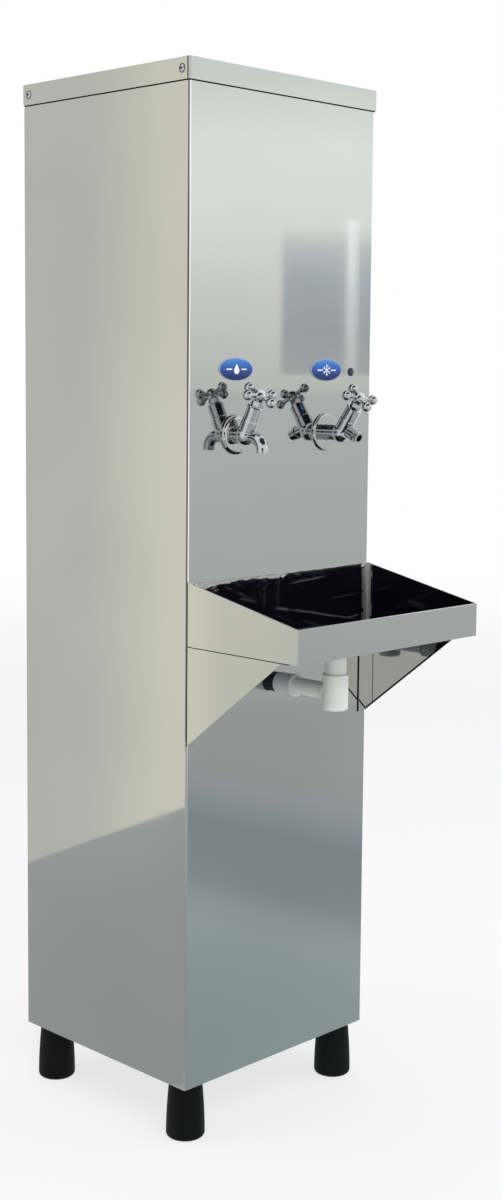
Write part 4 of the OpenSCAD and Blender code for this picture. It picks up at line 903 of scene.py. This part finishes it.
@dataclass
class DripTray:
    """Tray with its brackets, its fasteners and its folded liner."""

    width: float = WIDTH
    front_y: float = FRONT_Y
    reach: float = 182.0
    rim_z: float = 705.0
    front_z: float = 668.0
    floor_z: float = 627.0
    sheet: float = 1.2
    bracket_foot: float = 505.0
    bracket_reach: float = 157.0
    flange_w: float = 15.0
    gap_foot: dict[int, float] = field(default_factory=lambda: {-1: 26.0, 1: 0.0})
    bare: tuple[float, float] = (12.0, 9.0)
    torn_end: float = 14.0
    drain: tuple[float, float] = (-12.0, -181.0)
    drain_r: float = 29.0
    rivets: Sequence[tuple[float, float]] = ((-153.0, 700.0), (-1.0, 698.5), (153.0, 700.0))
    cuts: int = 80
    # folds by start, end, height, width and share of painted highlight along them
    folds: Sequence[Fold] = (
        Fold((-4, -79.3, 659), (141, -79.3, 631), 0.5, 1.05, 0.5),
        Fold((124, -79.3, 634), (146, -79.3, 637), 0.6, 1.2, 0.4),
        Fold((-14, -79.3, 661), (12, -79.3, 656), 0.7, 1.6, 0.4),
        Fold((80, -79.3, 663), (149, -79.3, 665.5), 0.4, 1.2, 0.08),
        Fold((163.7, -92, 668), (163.7, -127, 677.5), 0.4, 1.2, 0.08),
        Fold((163.7, -148, 660), (163.7, -180, 655), 0.5, 5.0, 0.06),
        Fold((-133, -79.3, 686), (-108, -79.3, 669), 0.5, 1.4, 0.2),
        Fold((-128, -79.3, 698), (-116, -79.3, 688), 0.5, 1.4, 0.3),
        Fold((-104, -79.3, 694), (-46, -79.3, 670), 0.4, 1.2, 0.1),
        Fold((-79, -79.3, 678), (-50, -79.3, 671), 0.4, 1.8, 0.14),
        Fold((37, -79.3, 639), (69, -79.3, 629.5), 0.4, 1.2, 0.12),
        Fold((10, -79.3, 687.5), (82, -79.3, 693), 0.3, 1.6, 0.04),
        Fold((-13, -79.3, 652.5), (20, -79.3, 637), 0.3, 1.2, 0.08),
        Fold((-36, -79.3, 697), (-34, -79.3, 660), 0.4, 3.0, 0.04),
        Fold((-9, -79.3, 697), (-9, -79.3, 661), 0.4, 3.0, 0.04),
        Fold((-163.7, -100, 692), (-163.7, -190, 640), 0.9),
        Fold((-120, -258.7, 640), (-10, -258.7, 656), 0.9),
        Fold((60, -258.7, 660), (150, -258.7, 638), 0.9),
        Fold((-140, -120, 628.3), (-70, -232, 628.3), 1.0, 6.0, 0.03),
        Fold((60, -108, 628.3), (146, -226, 628.3), 1.0, 6.0, 0.03),
    )

    def slope(self) -> float:
        """Fall of the rim per millimetre of reach."""
        return (self.rim_z - self.front_z) / self.reach

    def rim_at(self, y: float) -> float:
        """Height of the rim at a place along Y."""
        return self.rim_z - self.slope() * (self.front_y - y)

    def build_sheets(self) -> None:
        """Make the tray and brackets with rounded cut edges."""
        for node in ("drip_tray", "left_bracket", "right_bracket"):
            sheet = Shape.of_node(node).soften(0.35)
            sheet.piece(node + "_sheet", material_of(Finish.STEEL), "stainless", stands_for=[node])

    def build_seams(self) -> None:
        """Make the strips of painted shadow in the gaps where the tray and the brackets meet each other and
        the panel.
        """
        half = self.width / 2
        front = self.front_y
        shadow_seams = Shape()
        for sign in (-1, 1):
            inner, outer = sorted((sign * (half - 0.1), sign * (half + 0.06)))
            # painted shadow along the panel's fold, under the tray's side and at the flange's inner edge
            shadow_seams.join(Shape.block((inner, front - 1.1, self.bracket_foot), (outer, front + 0.2, self.rim_z)))
            tip = front - self.bracket_reach - 12
            shadow_seams.join(Shape.block((inner, tip, self.floor_z - 0.6), (outer, front, self.floor_z + 0.5)))
            near, far = sorted((sign * (half - self.flange_w), sign * (half - self.flange_w - 0.9)))
            low = (near, front - self.sheet - 0.1, self.bracket_foot + self.gap_foot[sign])
            shadow_seams.join(Shape.block(low, (far, front - 0.02, self.floor_z - 1.5)))
        self.add_hem_reflection(shadow_seams, half - self.sheet - 0.05)
        shadow_seams.piece("tray_shadow_seams", material_of(Finish.SEAM), "black_plastic")

    def add_hem_reflection(self, shadow_seams: Shape, x: float, width: float = 2.4) -> None:
        """Add the painted dark reflection along a bracket's slanting edge.

        Args:
            shadow_seams: the strips of painted shadow to add it to.
            x: place of the bracket's inner face.
            width: width of the line.
        """
        foot = Vector((x, self.front_y, self.bracket_foot))
        tip = Vector((x, self.front_y - self.bracket_reach, self.floor_z))
        inward = Vector((1, 0, 0)).cross(foot - tip).normalized() * width
        corners = (foot, tip, tip + inward, foot + inward)
        shadow_seams.bm.faces.new([shadow_seams.bm.verts.new(corner) for corner in corners])

    def build_rivets(self) -> None:
        """Make the fastener heads along the tray's back wall."""
        heads = Shape()
        dome = [(3.3, 0.0), (3.3, 0.4), (3.0, 1.0), (2.2, 1.55), (1.1, 1.85), (0.0, 1.95)]
        for x, z in self.rivets:
            head = Shape().revolve(dome, 32)
            heads.join(head.move(outward(x, self.front_y - self.sheet, z)))
        heads.piece("tray_rivets", material_of(Finish.CHROME), "stainless", crisp=False)

    def build_corner(self) -> None:
        """Make the ground weld in the unlined right back corner."""
        half = self.width / 2 - self.sheet
        back = self.front_y - self.sheet
        weld = Shape()
        insets = ((self.bare[0], 0.04), (2.0, 0.04), (0.04, 2.0), (0.04, self.bare[1]))
        floor = self.floor_z + self.sheet
        line = [weld.bm.verts.new((half - x, back - y, floor)) for x, y in insets]
        foot = [weld.bm.edges.new(pair) for pair in zip(line, line[1:])]
        raised = bmesh.ops.extrude_edge_only(weld.bm, edges=foot)["geom"]
        for v in raised:
            if isinstance(v, bmesh.types.BMVert):
                v.co.z = self.rim_at(v.co.y) - 0.3
        bmesh.ops.recalc_face_normals(weld.bm, faces=weld.bm.faces[:])
        weld.piece("tray_corner_weld", material_of(Finish.GROUND_STEEL), "stainless", crisp=False)

    def build_rim(self) -> None:
        """Make the dressed bright edge along the tray's rim."""
        half = self.width / 2
        out_y = self.front_y - self.reach
        loops = []
        rim = Shape()
        for inset, lift in ((-0.05, -0.5), (-0.05, 0.06), (self.sheet + 0.1, 0.06), (self.sheet + 0.1, -0.5)):
            x = half - inset
            y = out_y + inset
            back = self.front_y - 0.1
            corners = ((-x, back), (-x, y), (x, y), (x, back))
            loops.append([rim.bm.verts.new((cx, cy, self.rim_at(cy) + lift)) for cx, cy in corners])
        for lower, upper in zip(loops, loops[1:]):
            for a, b, c, d in zip(lower, lower[1:], upper[1:], upper):
                rim.bm.faces.new((a, b, c, d))
        bmesh.ops.recalc_face_normals(rim.bm, faces=rim.bm.faces[:])
        rim.piece("tray_rim_edge", material_of(Finish.CHROME), "stainless")

    def margin(self, spot: Vector) -> float:
        """Tell how far below the rim the liner ends.

        Args:
            spot: a point of the liner.

        Returns:
            The gap in millimetres, larger and ragged along the torn part of the back wall.
        """
        ragged = abs(noise.noise(spot * 0.07))
        at_back = self.front_y - spot.y < 4
        if at_back and spot.x < self.torn_end:
            return 1.2 + 3.0 * ragged
        return 1.6 + 1.6 * ragged

    def bare_corner(self, face: bmesh.types.BMFace) -> bool:
        """Tell whether a face lies on the unlined right back corner.

        Args:
            face: a face of the liner.

        Returns:
            True for the upright strip on both walls of that corner.
        """
        spot = face.calc_center_median()
        half = self.width / 2
        depth = self.front_y - spot.y
        ragged = noise.noise(spot * 0.06) * 1.5
        on_back = depth < 4 and spot.x > half - self.bare[0] + ragged
        on_right = spot.x > half - 4 and depth < self.bare[1] + ragged
        return on_back or on_right

    def lay_liner(self, liner: Shape, half: float, front: float, back: float, floor: float) -> None:
        """Trim the liner's top to the rim, lift its folds off the steel and store their painted highlight.

        Args:
            liner: the plain open box.
            half: half of its width.
            front: its front wall's place.
            back: its back wall's place.
            floor: its floor's height.
        """
        bm = liner.bm
        mark = bm.verts.layers.float.new("fold")
        for v in bm.verts:
            share = (v.co.z - floor) / (self.rim_z - floor)
            top = self.rim_at(v.co.y) - self.margin(v.co)
            v.co.z = floor + share * (top - floor)
        touching = 0.01
        for v in bm.verts:
            push = Vector((0, 0, 0))
            if half - abs(v.co.x) < touching:
                push.x = -math.copysign(1.0, v.co.x)
            if back - v.co.y < touching:
                push.y = -1.0
            if v.co.y - front < touching:
                push.y = 1.0
            if v.co.z - floor < touching:
                push.z = 1.0
            near = [(fold.nearness(v.co), fold) for fold in self.folds]
            ridge = max(share * fold.height for share, fold in near)
            # the fold layer stores each fold's painted highlight for the film's colour
            v[mark] = max(share * fold.pale for share, fold in near)
            v.co += push * (0.2 + 0.5 * (1.0 + noise.noise(v.co * 0.012)) + ridge)

    def open_liner(self, liner: Shape, floor: float) -> None:
        """Cut the bare corner and the drain's round hole out of the liner.

        Args:
            liner: the folded liner.
            floor: its floor's height.
        """
        bm = liner.bm
        centre = Vector(self.drain)
        gone = []
        for face in bm.faces:
            spot = face.calc_center_median()
            over_drain = spot.z < floor + 8 and (spot.xy - centre).length < self.drain_r
            if over_drain or self.bare_corner(face):
                gone.append(face)
        bmesh.ops.delete(bm, geom=gone, context="FACES")
        for v in bm.verts:
            away = v.co.xy - centre
            if v.is_boundary and v.co.z < floor + 8 and away.length < self.drain_r + 8:
                v.co.xy = centre + away.normalized() * self.drain_r

    def build_liner(self) -> None:
        """Make the folded film inside the tray."""
        gap = self.sheet + 0.05
        half = self.width / 2 - gap
        back = self.front_y - gap
        front = self.front_y - self.reach + gap
        floor = self.floor_z + gap
        liner = Shape.block((-half, front, floor), (half, back, self.rim_z))
        bm = liner.bm
        bmesh.ops.delete(bm, geom=[f for f in bm.faces if f.normal.z > 0.5], context="FACES")
        bmesh.ops.subdivide_edges(bm, edges=bm.edges[:], cuts=self.cuts, use_grid_fill=True)
        self.lay_liner(liner, half, front, back, floor)
        self.open_liner(liner, floor)
        bmesh.ops.recalc_face_normals(bm, faces=bm.faces[:])
        if min(bm.faces, key=lambda f: f.calc_center_median().z).normal.z < 0:
            bmesh.ops.reverse_faces(bm, faces=bm.faces[:])
        film = LinerFilm("liner_film", self.rim_z * MM, self.slope(), self.front_y * MM).build()
        liner.piece("tray_liner", film, "black_film", stands_for=["tray_film"], crisp=False)

    def build(self) -> None:
        """Make every piece of the tray."""
        self.build_sheets()
        self.build_seams()
        self.build_rivets()
        self.build_corner()
        self.build_rim()
        self.build_liner()


@dataclass
class Drain:
    """White waste under the tray with its grey coupling, by the width of each rounded edge."""

    white: dict[str, float] = field(
        default_factory=lambda: {"drain_nut": 0.8, "drain_tailpipe": 0.4, "drain_tee": 0.5}
    )
    grey: dict[str, float] = field(default_factory=lambda: {"drain_coupling": 0.6})

    def build(self) -> None:
        """Round the moulded edges of the drain's pieces."""
        sets = ((self.white, Finish.WHITE_PVC, "white_pvc"), (self.grey, Finish.GREY_PVC, "grey_pvc"))
        for nodes, finish, slot in sets:
            for node, width in nodes.items():
                moulded = Shape.of_node(node).soften(width)
                moulded.piece(node + "_moulded", material_of(finish), slot, stands_for=[node])


@dataclass
class Tap:
    """One chromed tap with its flange, bonnet and cross handle."""

    side: Side
    finishes: dict[str, Finish] = field(
        default_factory=lambda: {
            "body": Finish.CHROME,
            "flange": Finish.STEEL,
            "bonnet": Finish.CHROME,
            "gland_nut": Finish.CHROME,
            "spindle": Finish.CHROME,
            "valve": Finish.RUBBER,
            "handle": Finish.CHROME,
            "handle_cap": Finish.BUTTON,
        }
    )

    def build(self) -> None:
        """Dress the tap's solids."""
        for piece, finish in self.finishes.items():
            paint("%s_tap_%s" % (self.side.name.lower(), piece), finish)


@dataclass
class Trim:
    """Oval labels and the pilot lamp on the front panel."""

    front_y: float = FRONT_Y
    label_x: dict[Side, float] = field(default_factory=lambda: {Side.LEFT: -86.0, Side.RIGHT: 77.0})
    label_z: float = 959.0
    label_w: float = 58.0
    label_h: float = 27.5
    rim: float = 0.8
    dome: float = 1.6
    bar: tuple[float, float] = (4.6, 0.8)
    bar_x: float = 12.6
    lamp: tuple[float, float] = (125.0, 957.0)
    lamp_r: float = 5.5
    lamp_body_r: float = 3.35
    lamp_body_len: float = 14.0
    lamp_h: float = 4.0

    def build_label(self, side: Side, node: str) -> None:
        """Make one domed oval label.

        Args:
            side: the tap it belongs to.
            node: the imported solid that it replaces.
        """
        r = self.label_w / 2
        outline = [(0.0, 0.0), (r - 0.1, 0.0), (r, 0.15), (r, 0.55), (r - 0.25, self.rim)]
        for step in range(10):
            a = math.radians(12 + 7.8 * step)
            outline.append((r * 0.985 * math.cos(a), self.rim + (self.dome - self.rim) * math.sin(a)))
        outline.append((0.0, self.dome))
        x = self.label_x[side]
        label = Shape().revolve(outline, 96)
        label.move(Matrix.Diagonal((1.0, self.label_h / self.label_w, 1.0, 1.0)))
        label.move(outward(x, self.front_y, self.label_z))
        resin = LabelResin(node + "_resin", (x * MM, self.label_z * MM), r * MM, self.label_h / 2 * MM)
        label.piece(node + "_dome", resin.build(), "label_blue", stands_for=[node], crisp=False)

    def add_bar(self, sign: Shape, place: Matrix, half_len: float, half_h: float) -> None:
        """Add one flat printed bar to a sign, by its place and half sizes."""
        size = Matrix.Diagonal((half_len, half_h, 1.0, 1.0))
        bmesh.ops.create_grid(sign.bm, x_segments=6, y_segments=2, size=1.0, matrix=place @ size)

    def add_drop(self, sign: Shape, radius: float = 4.6) -> None:
        """Add a drop.

        Args:
            sign: the sign to add it to.
            radius: radius of its round part.
        """
        bmesh.ops.create_circle(sign.bm, cap_ends=True, segments=40, radius=radius)
        for v in sign.bm.verts:
            if v.co.y > 0:
                v.co.y *= 1.0 + 0.75 * (1.0 - abs(v.co.x) / radius) ** 1.2
                v.co.x *= 1.0 - 0.28 * min(1.0, v.co.y / 8.0)
        sign.move(Matrix.Translation((0, -1.4, 0)))

    def add_snowflake(self, sign: Shape) -> None:
        """Add six branched arms.

        Args:
            sign: the sign to add them to.
        """
        for turn in range(6):
            arm = Matrix.Rotation(math.radians(30 + 60 * turn), 4, "Z")
            self.add_bar(sign, arm @ Matrix.Translation((3.5, 0, 0)), 3.5, 0.6)
            for lean in (-45, 45):
                branch = arm @ Matrix.Translation((4.4, 0, 0)) @ Matrix.Rotation(math.radians(lean), 4, "Z")
                self.add_bar(sign, branch @ Matrix.Translation((1.2, 0, 0)), 1.3, 0.5)

    def build_symbol(self, side: Side, symbol: Symbol) -> None:
        """Make the plain printed sign on a label, between two bars.

        Args:
            side: the tap it belongs to.
            symbol: the sign.
        """
        sign = Shape()
        if symbol is Symbol.DROP:
            self.add_drop(sign)
        else:
            self.add_snowflake(sign)
        for end in (-1, 1):
            self.add_bar(sign, Matrix.Translation((end * self.bar_x, 0, 0)), *self.bar)
        for v in sign.bm.verts:
            over = (v.co.x / (self.label_w / 2)) ** 2 + (v.co.y / (self.label_h / 2)) ** 2
            rise = math.sqrt(max(0.0, 1.0 - over / 0.985 ** 2))
            v.co.z = self.rim + (self.dome - self.rim) * rise + 0.07
        sign.move(outward(self.label_x[side], self.front_y, self.label_z))
        sign.piece("%s_sign" % symbol.value, material_of(Finish.PRINT), "cap_plastic", crisp=False)

    def build_lamp(self) -> None:
        """Make the pilot lamp's bezel and lens."""
        r = self.lamp_r
        place = outward(self.lamp[0], self.front_y, self.lamp[1])
        bezel = Shape().revolve(
            [
                (self.lamp_body_r, -self.lamp_body_len), (self.lamp_body_r, 0.02), (r, 0.02), (r, 0.7),
                (r - 0.4, 1.15), (r - 1.0, 1.2), (r - 1.1, 0.9),
            ],
            48,
        )
        bezel.move(place)
        lens_material = material_of(Finish.LENS)
        bezel.piece("pilot_lamp_bezel", lens_material, "lamp_blue", stands_for=["pilot_lamp"], crisp=False)
        dome = []
        for step in range(11):
            a = math.radians(9 * step)
            dome.append(((r - 1.1) * math.cos(a), 0.9 + (self.lamp_h - 0.9) * math.sin(a)))
        dome[-1] = (0.0, self.lamp_h)
        lens = Shape().revolve(dome, 48).move(place)
        lens.piece("pilot_lamp_lens", lens_material, "lamp_blue", crisp=False)

    def build(self) -> None:
        """Make every piece of trim."""
        self.build_label(Side.LEFT, "ambient_label")
        self.build_label(Side.RIGHT, "chilled_label")
        self.build_symbol(Side.LEFT, Symbol.DROP)
        self.build_symbol(Side.RIGHT, Symbol.SNOWFLAKE)
        self.build_lamp()


@dataclass
class Studio:
    """Pale floor, soft light and the camera."""

    place: Triple = (-1.5292, -1.5276, 0.9572)
    azimuth: float = -45.4252
    elevation: float = 5.7562
    roll: float = 0.5115
    focal_px: float = 1677.55
    image_h: float = 1200.0
    axis_row: float = 540.0
    ambient: float = 0.62

    def build_camera(self) -> None:
        """Set the camera where the photograph was taken from."""
        a, e, r = (math.radians(v) for v in (self.azimuth, self.elevation, self.roll))
        back = Vector((math.sin(a) * math.cos(e), -math.cos(a) * math.cos(e), math.sin(e)))
        right = (-back).cross(Vector((0, 0, 1))).normalized()
        up = right.cross(-back)
        across = right * math.cos(r) + up * math.sin(r)
        rise = up * math.cos(r) - right * math.sin(r)
        data = bpy.data.cameras.new("camera")
        data.sensor_fit = "AUTO"
        data.sensor_width = 36.0
        data.lens = self.focal_px * data.sensor_width / self.image_h
        data.shift_y = (self.axis_row - self.image_h / 2) / self.image_h
        camera = bpy.data.objects.new("camera", data)
        turn = Matrix((across, rise, back)).transposed().to_4x4()
        camera.matrix_world = Matrix.Translation(self.place) @ turn
        bpy.context.collection.objects.link(camera)
        bpy.context.scene.camera = camera

    def build_world(self) -> None:
        """Make the white surroundings, softer for the light that falls on the cooler."""
        world = bpy.data.worlds.new("surroundings")
        g = Graph(world)
        white = (1.0, 1.0, 1.0)
        soft = g.node("ShaderNodeBackground", None, {"Color": white, "Strength": self.ambient})
        plain = g.node("ShaderNodeBackground", None, {"Color": white, "Strength": 1.0})
        g.close(g.node("ShaderNodeMixShader", None, {0: g.seen(), 1: soft, 2: plain}))
        bpy.context.scene.world = world

    @staticmethod
    def stand(name: str, bm: bmesh.types.BMesh, material: bpy.types.Material) -> bpy.types.Object:
        """Turn a mesh in metres into a part of the stage.

        Args:
            name: the object's name.
            bm: its mesh, which is used up.
            material: its finish.

        Returns:
            The new object.
        """
        mesh = bpy.data.meshes.new(name)
        bm.to_mesh(mesh)
        bm.free()
        mesh.materials.append(material)
        obj = bpy.data.objects.new(name, mesh)
        bpy.context.collection.objects.link(obj)
        return obj

    def build_floor(self) -> None:
        """Make the pale floor."""
        bm = bmesh.new()
        bmesh.ops.create_circle(bm, cap_ends=True, segments=96, radius=40.0)
        self.stand("floor", bm, PaleFloor().build())

    @staticmethod
    def softbox(
        name: str, spot: Triple, aim: Triple, size: tuple[float, float], power: float, tint: Triple
    ) -> None:
        """Hang one large soft lamp that lights the cooler but isn't mirrored in it.

        Args:
            name: the lamp's name.
            spot: its place in metres.
            aim: the point it faces.
            size: width and height in metres.
            power: watts.
            tint: its colour.
        """
        data = bpy.data.lights.new(name, "AREA")
        data.shape = "RECTANGLE"
        data.size, data.size_y = size
        data.energy = power
        data.color = tint
        lamp = bpy.data.objects.new(name, data)
        lamp.location = spot
        lamp.rotation_euler = (Vector(aim) - Vector(spot)).to_track_quat("-Z", "Y").to_euler()
        lamp.visible_camera = False
        lamp.visible_glossy = False
        bpy.context.collection.objects.link(lamp)

    def card(
        self,
        name: str,
        place: Matrix,
        size: tuple[float, float],
        stops: Stops,
        fade: Edges = (0.0, 0.0, 0.0, 0.0),
        grade: Grade = Grade.UP,
        skew: float = 0.0,
    ) -> None:
        """Set up a plain graded card that only the polished metal mirrors.

        Args:
            name: the card's name.
            place: its place, with its own X across and its own Y up.
            size: width and height in metres.
            stops: brightness in halves, from 0 at its foot or left end to 1.
            fade: metres over which its left, right, foot and top edges fade out.
            grade: the way along which the brightness changes.
            skew: how far its bands climb per metre to the right.
        """
        bm = bmesh.new()
        whole = Matrix.Diagonal((*size, 1.0, 1.0))
        bmesh.ops.create_grid(bm, x_segments=1, y_segments=1, size=0.5, matrix=whole)
        obj = self.stand(name, bm, CardTone(name, size, grade, stops, fade, skew).build())
        obj.matrix_world = place
        obj.visible_camera = False
        obj.visible_diffuse = False
        obj.visible_shadow = False

    @staticmethod
    def upright(x: float, y: float, z: float, turn: float) -> Matrix:
        """Stand a card up at its middle, turned about Z in degrees from a face that looks along -Y."""
        spin = Matrix.Rotation(math.radians(turn), 4, "Z")
        return Matrix.Translation((x, y, z)) @ spin @ Matrix.Rotation(math.radians(90), 4, "X")

    @staticmethod
    def flat(x: float, y: float, z: float, turn: float) -> Matrix:
        """Lay a card flat at its middle, turned about Z in degrees."""
        return Matrix.Translation((x, y, z)) @ Matrix.Rotation(math.radians(turn), 4, "Z")

    def build_lamps(self) -> None:
        """Hang the soft lamps."""
        self.softbox("key", (-1.6, -2.6, 2.7), (0, 0, 0.7), (1.6, 1.6), 38.0, (1.0, 0.99, 0.97))
        self.softbox("fill", (2.6, -2.2, 2.2), (0, 0, 0.9), (1.8, 2.2), 26.0, (0.97, 0.985, 1.0))
        self.softbox("back", (-2.8, 1.9, 1.9), (0, 0, 0.8), (1.6, 2.4), 20.0, (1.0, 0.96, 0.88))
        self.softbox("top", (0.0, 0.2, 3.4), (0, 0, 0.6), (2.2, 2.2), 24.0, (1.0, 1.0, 1.0))

    def build_cards(self) -> None:
        """Set up the cards that the front, the side and the chrome mirror."""
        self.card(
            "front_card", self.upright(1.9, -1.95, 1.2, 225), (2.0, 2.4),
            (
                (0.0, (0.345, 0.36, 0.36)), (0.19, (0.395, 0.41, 0.40)), (0.37, (0.425, 0.44, 0.435)),
                (0.378, (0.49, 0.50, 0.475)), (0.435, (0.555, 0.565, 0.535)), (0.53, (0.665, 0.69, 0.665)),
                (0.6, (0.725, 0.755, 0.735)), (0.66, (0.735, 0.77, 0.75)), (0.71, (0.655, 0.69, 0.665)),
                (0.74, (0.60, 0.64, 0.62)), (1.0, (0.60, 0.64, 0.62)),
            ),
            (0.5, 0.55, 0.0, 0.5),
        )
        self.card(
            "front_floor_card", self.flat(0.854, -0.904, 0.004, 45), (1.5, 2.96),
            (
                (0.0, (0.32, 0.335, 0.335)), (0.234, (0.315, 0.33, 0.33)), (0.355, (0.30, 0.325, 0.325)),
                (0.416, (0.25, 0.285, 0.299)), (0.47, (0.215, 0.25, 0.264)), (0.551, (0.219, 0.255, 0.264)),
                (0.608, (0.235, 0.267, 0.272)), (0.652, (0.281, 0.322, 0.322)), (0.692, (0.29, 0.338, 0.338)),
                (0.747, (0.272, 0.318, 0.328)), (0.804, (0.255, 0.303, 0.308)), (1.0, (0.243, 0.285, 0.285)),
            ),
            (0.42, 0.36, 0.0, 0.28),
            skew=0.78,
        )
        self.card(
            "window_card", self.upright(2.016, -1.806, 1.152, 225), (0.284, 0.408),
            (
                (0.0, (0.36, 0.375, 0.37)), (0.3, (0.33, 0.36, 0.38)), (0.65, (0.38, 0.42, 0.44)),
                (0.86, (0.50, 0.53, 0.53)), (1.0, (0.68, 0.705, 0.68)),
            ),
        )
        self.card(
            "bright_strip_card", self.upright(2.05, -1.765, 1.165, 225), (0.03, 0.43),
            ((0.0, (0.50, 0.51, 0.50)), (0.5, (0.66, 0.68, 0.68)), (1.0, (0.86, 0.88, 0.88))),
        )
        self.card(
            "warm_side_card", self.upright(-1.3, 1.1035, 1.3, -10.26), (1.5, 2.6),
            (
                (0.0, (0.52, 0.512, 0.445)), (0.43, (0.53, 0.527, 0.458)), (0.5, (0.595, 0.59, 0.51)),
                (0.57, (0.595, 0.595, 0.515)), (0.67, (0.53, 0.535, 0.47)), (0.74, (0.475, 0.48, 0.44)),
                (1.0, (0.455, 0.46, 0.425)),
            ),
            (0.5, 0.12, 0.0, 0.7),
            Grade.ACROSS,
        )
        self.card(
            "side_floor_card", self.flat(-0.852, 0.452, 0.004, -10.26), (1.95, 1.36),
            ((0.0, (0.265, 0.288, 0.288)), (0.6, (0.285, 0.30, 0.30)), (1.0, (0.335, 0.345, 0.335))),
            (0.42, 0.26, 0.3, 0.12),
        )
        self.card(
            "dark_card", self.upright(-2.5, -2.5, 0.85, 135), (2.6, 1.7),
            (
                (0.0, (0.27, 0.28, 0.28)), (0.42, (0.22, 0.225, 0.225)), (0.58, (0.04, 0.04, 0.042)),
                (0.72, (0.012, 0.012, 0.013)), (1.0, (0.012, 0.012, 0.013)),
            ),
            (0.5, 0.5, 0.0, 0.3),
        )
        self.card(
            "pale_floor_card", self.flat(-2.45, -2.1, 0.005, 45), (1.7, 1.2),
            ((0.0, (0.74, 0.72, 0.67)), (0.5, (0.74, 0.72, 0.67)), (1.0, (0.70, 0.68, 0.63))),
        )
        self.card(
            "dark_ceiling_card", self.flat(-0.6, -2.0, 2.9, 0), (4.5, 2.6),
            ((0.0, (0.03, 0.03, 0.033)), (0.5, (0.02, 0.02, 0.022)), (1.0, (0.03, 0.03, 0.033))),
        )
        self.card(
            "grey_floor_card", self.flat(-1.05, -1.0, 0.003, 45), (2.4, 1.9),
            ((0.0, (0.27, 0.29, 0.29)), (0.5, (0.27, 0.28, 0.28)), (1.0, (0.27, 0.28, 0.275))),
            (0.3, 0.2, 0.4, 0.4),
        )

    def build(self) -> None:
        """Set up the whole studio."""
        self.build_camera()
        self.build_world()
        self.build_floor()
        self.build_lamps()
        self.build_cards()
        bpy.context.scene.view_settings.view_transform = "Standard"


def main() -> None:
    """Build the cooler's looks in order."""
    logging.basicConfig(level=logging.INFO, format="%(name)s: %(message)s")
    Studio().build()
    Cabinet().build()
    DripTray().build()
    Drain().build()
    for side in Side:
        Tap(side).build()
    Trim().build()


if __name__ == "__main__":
    main()
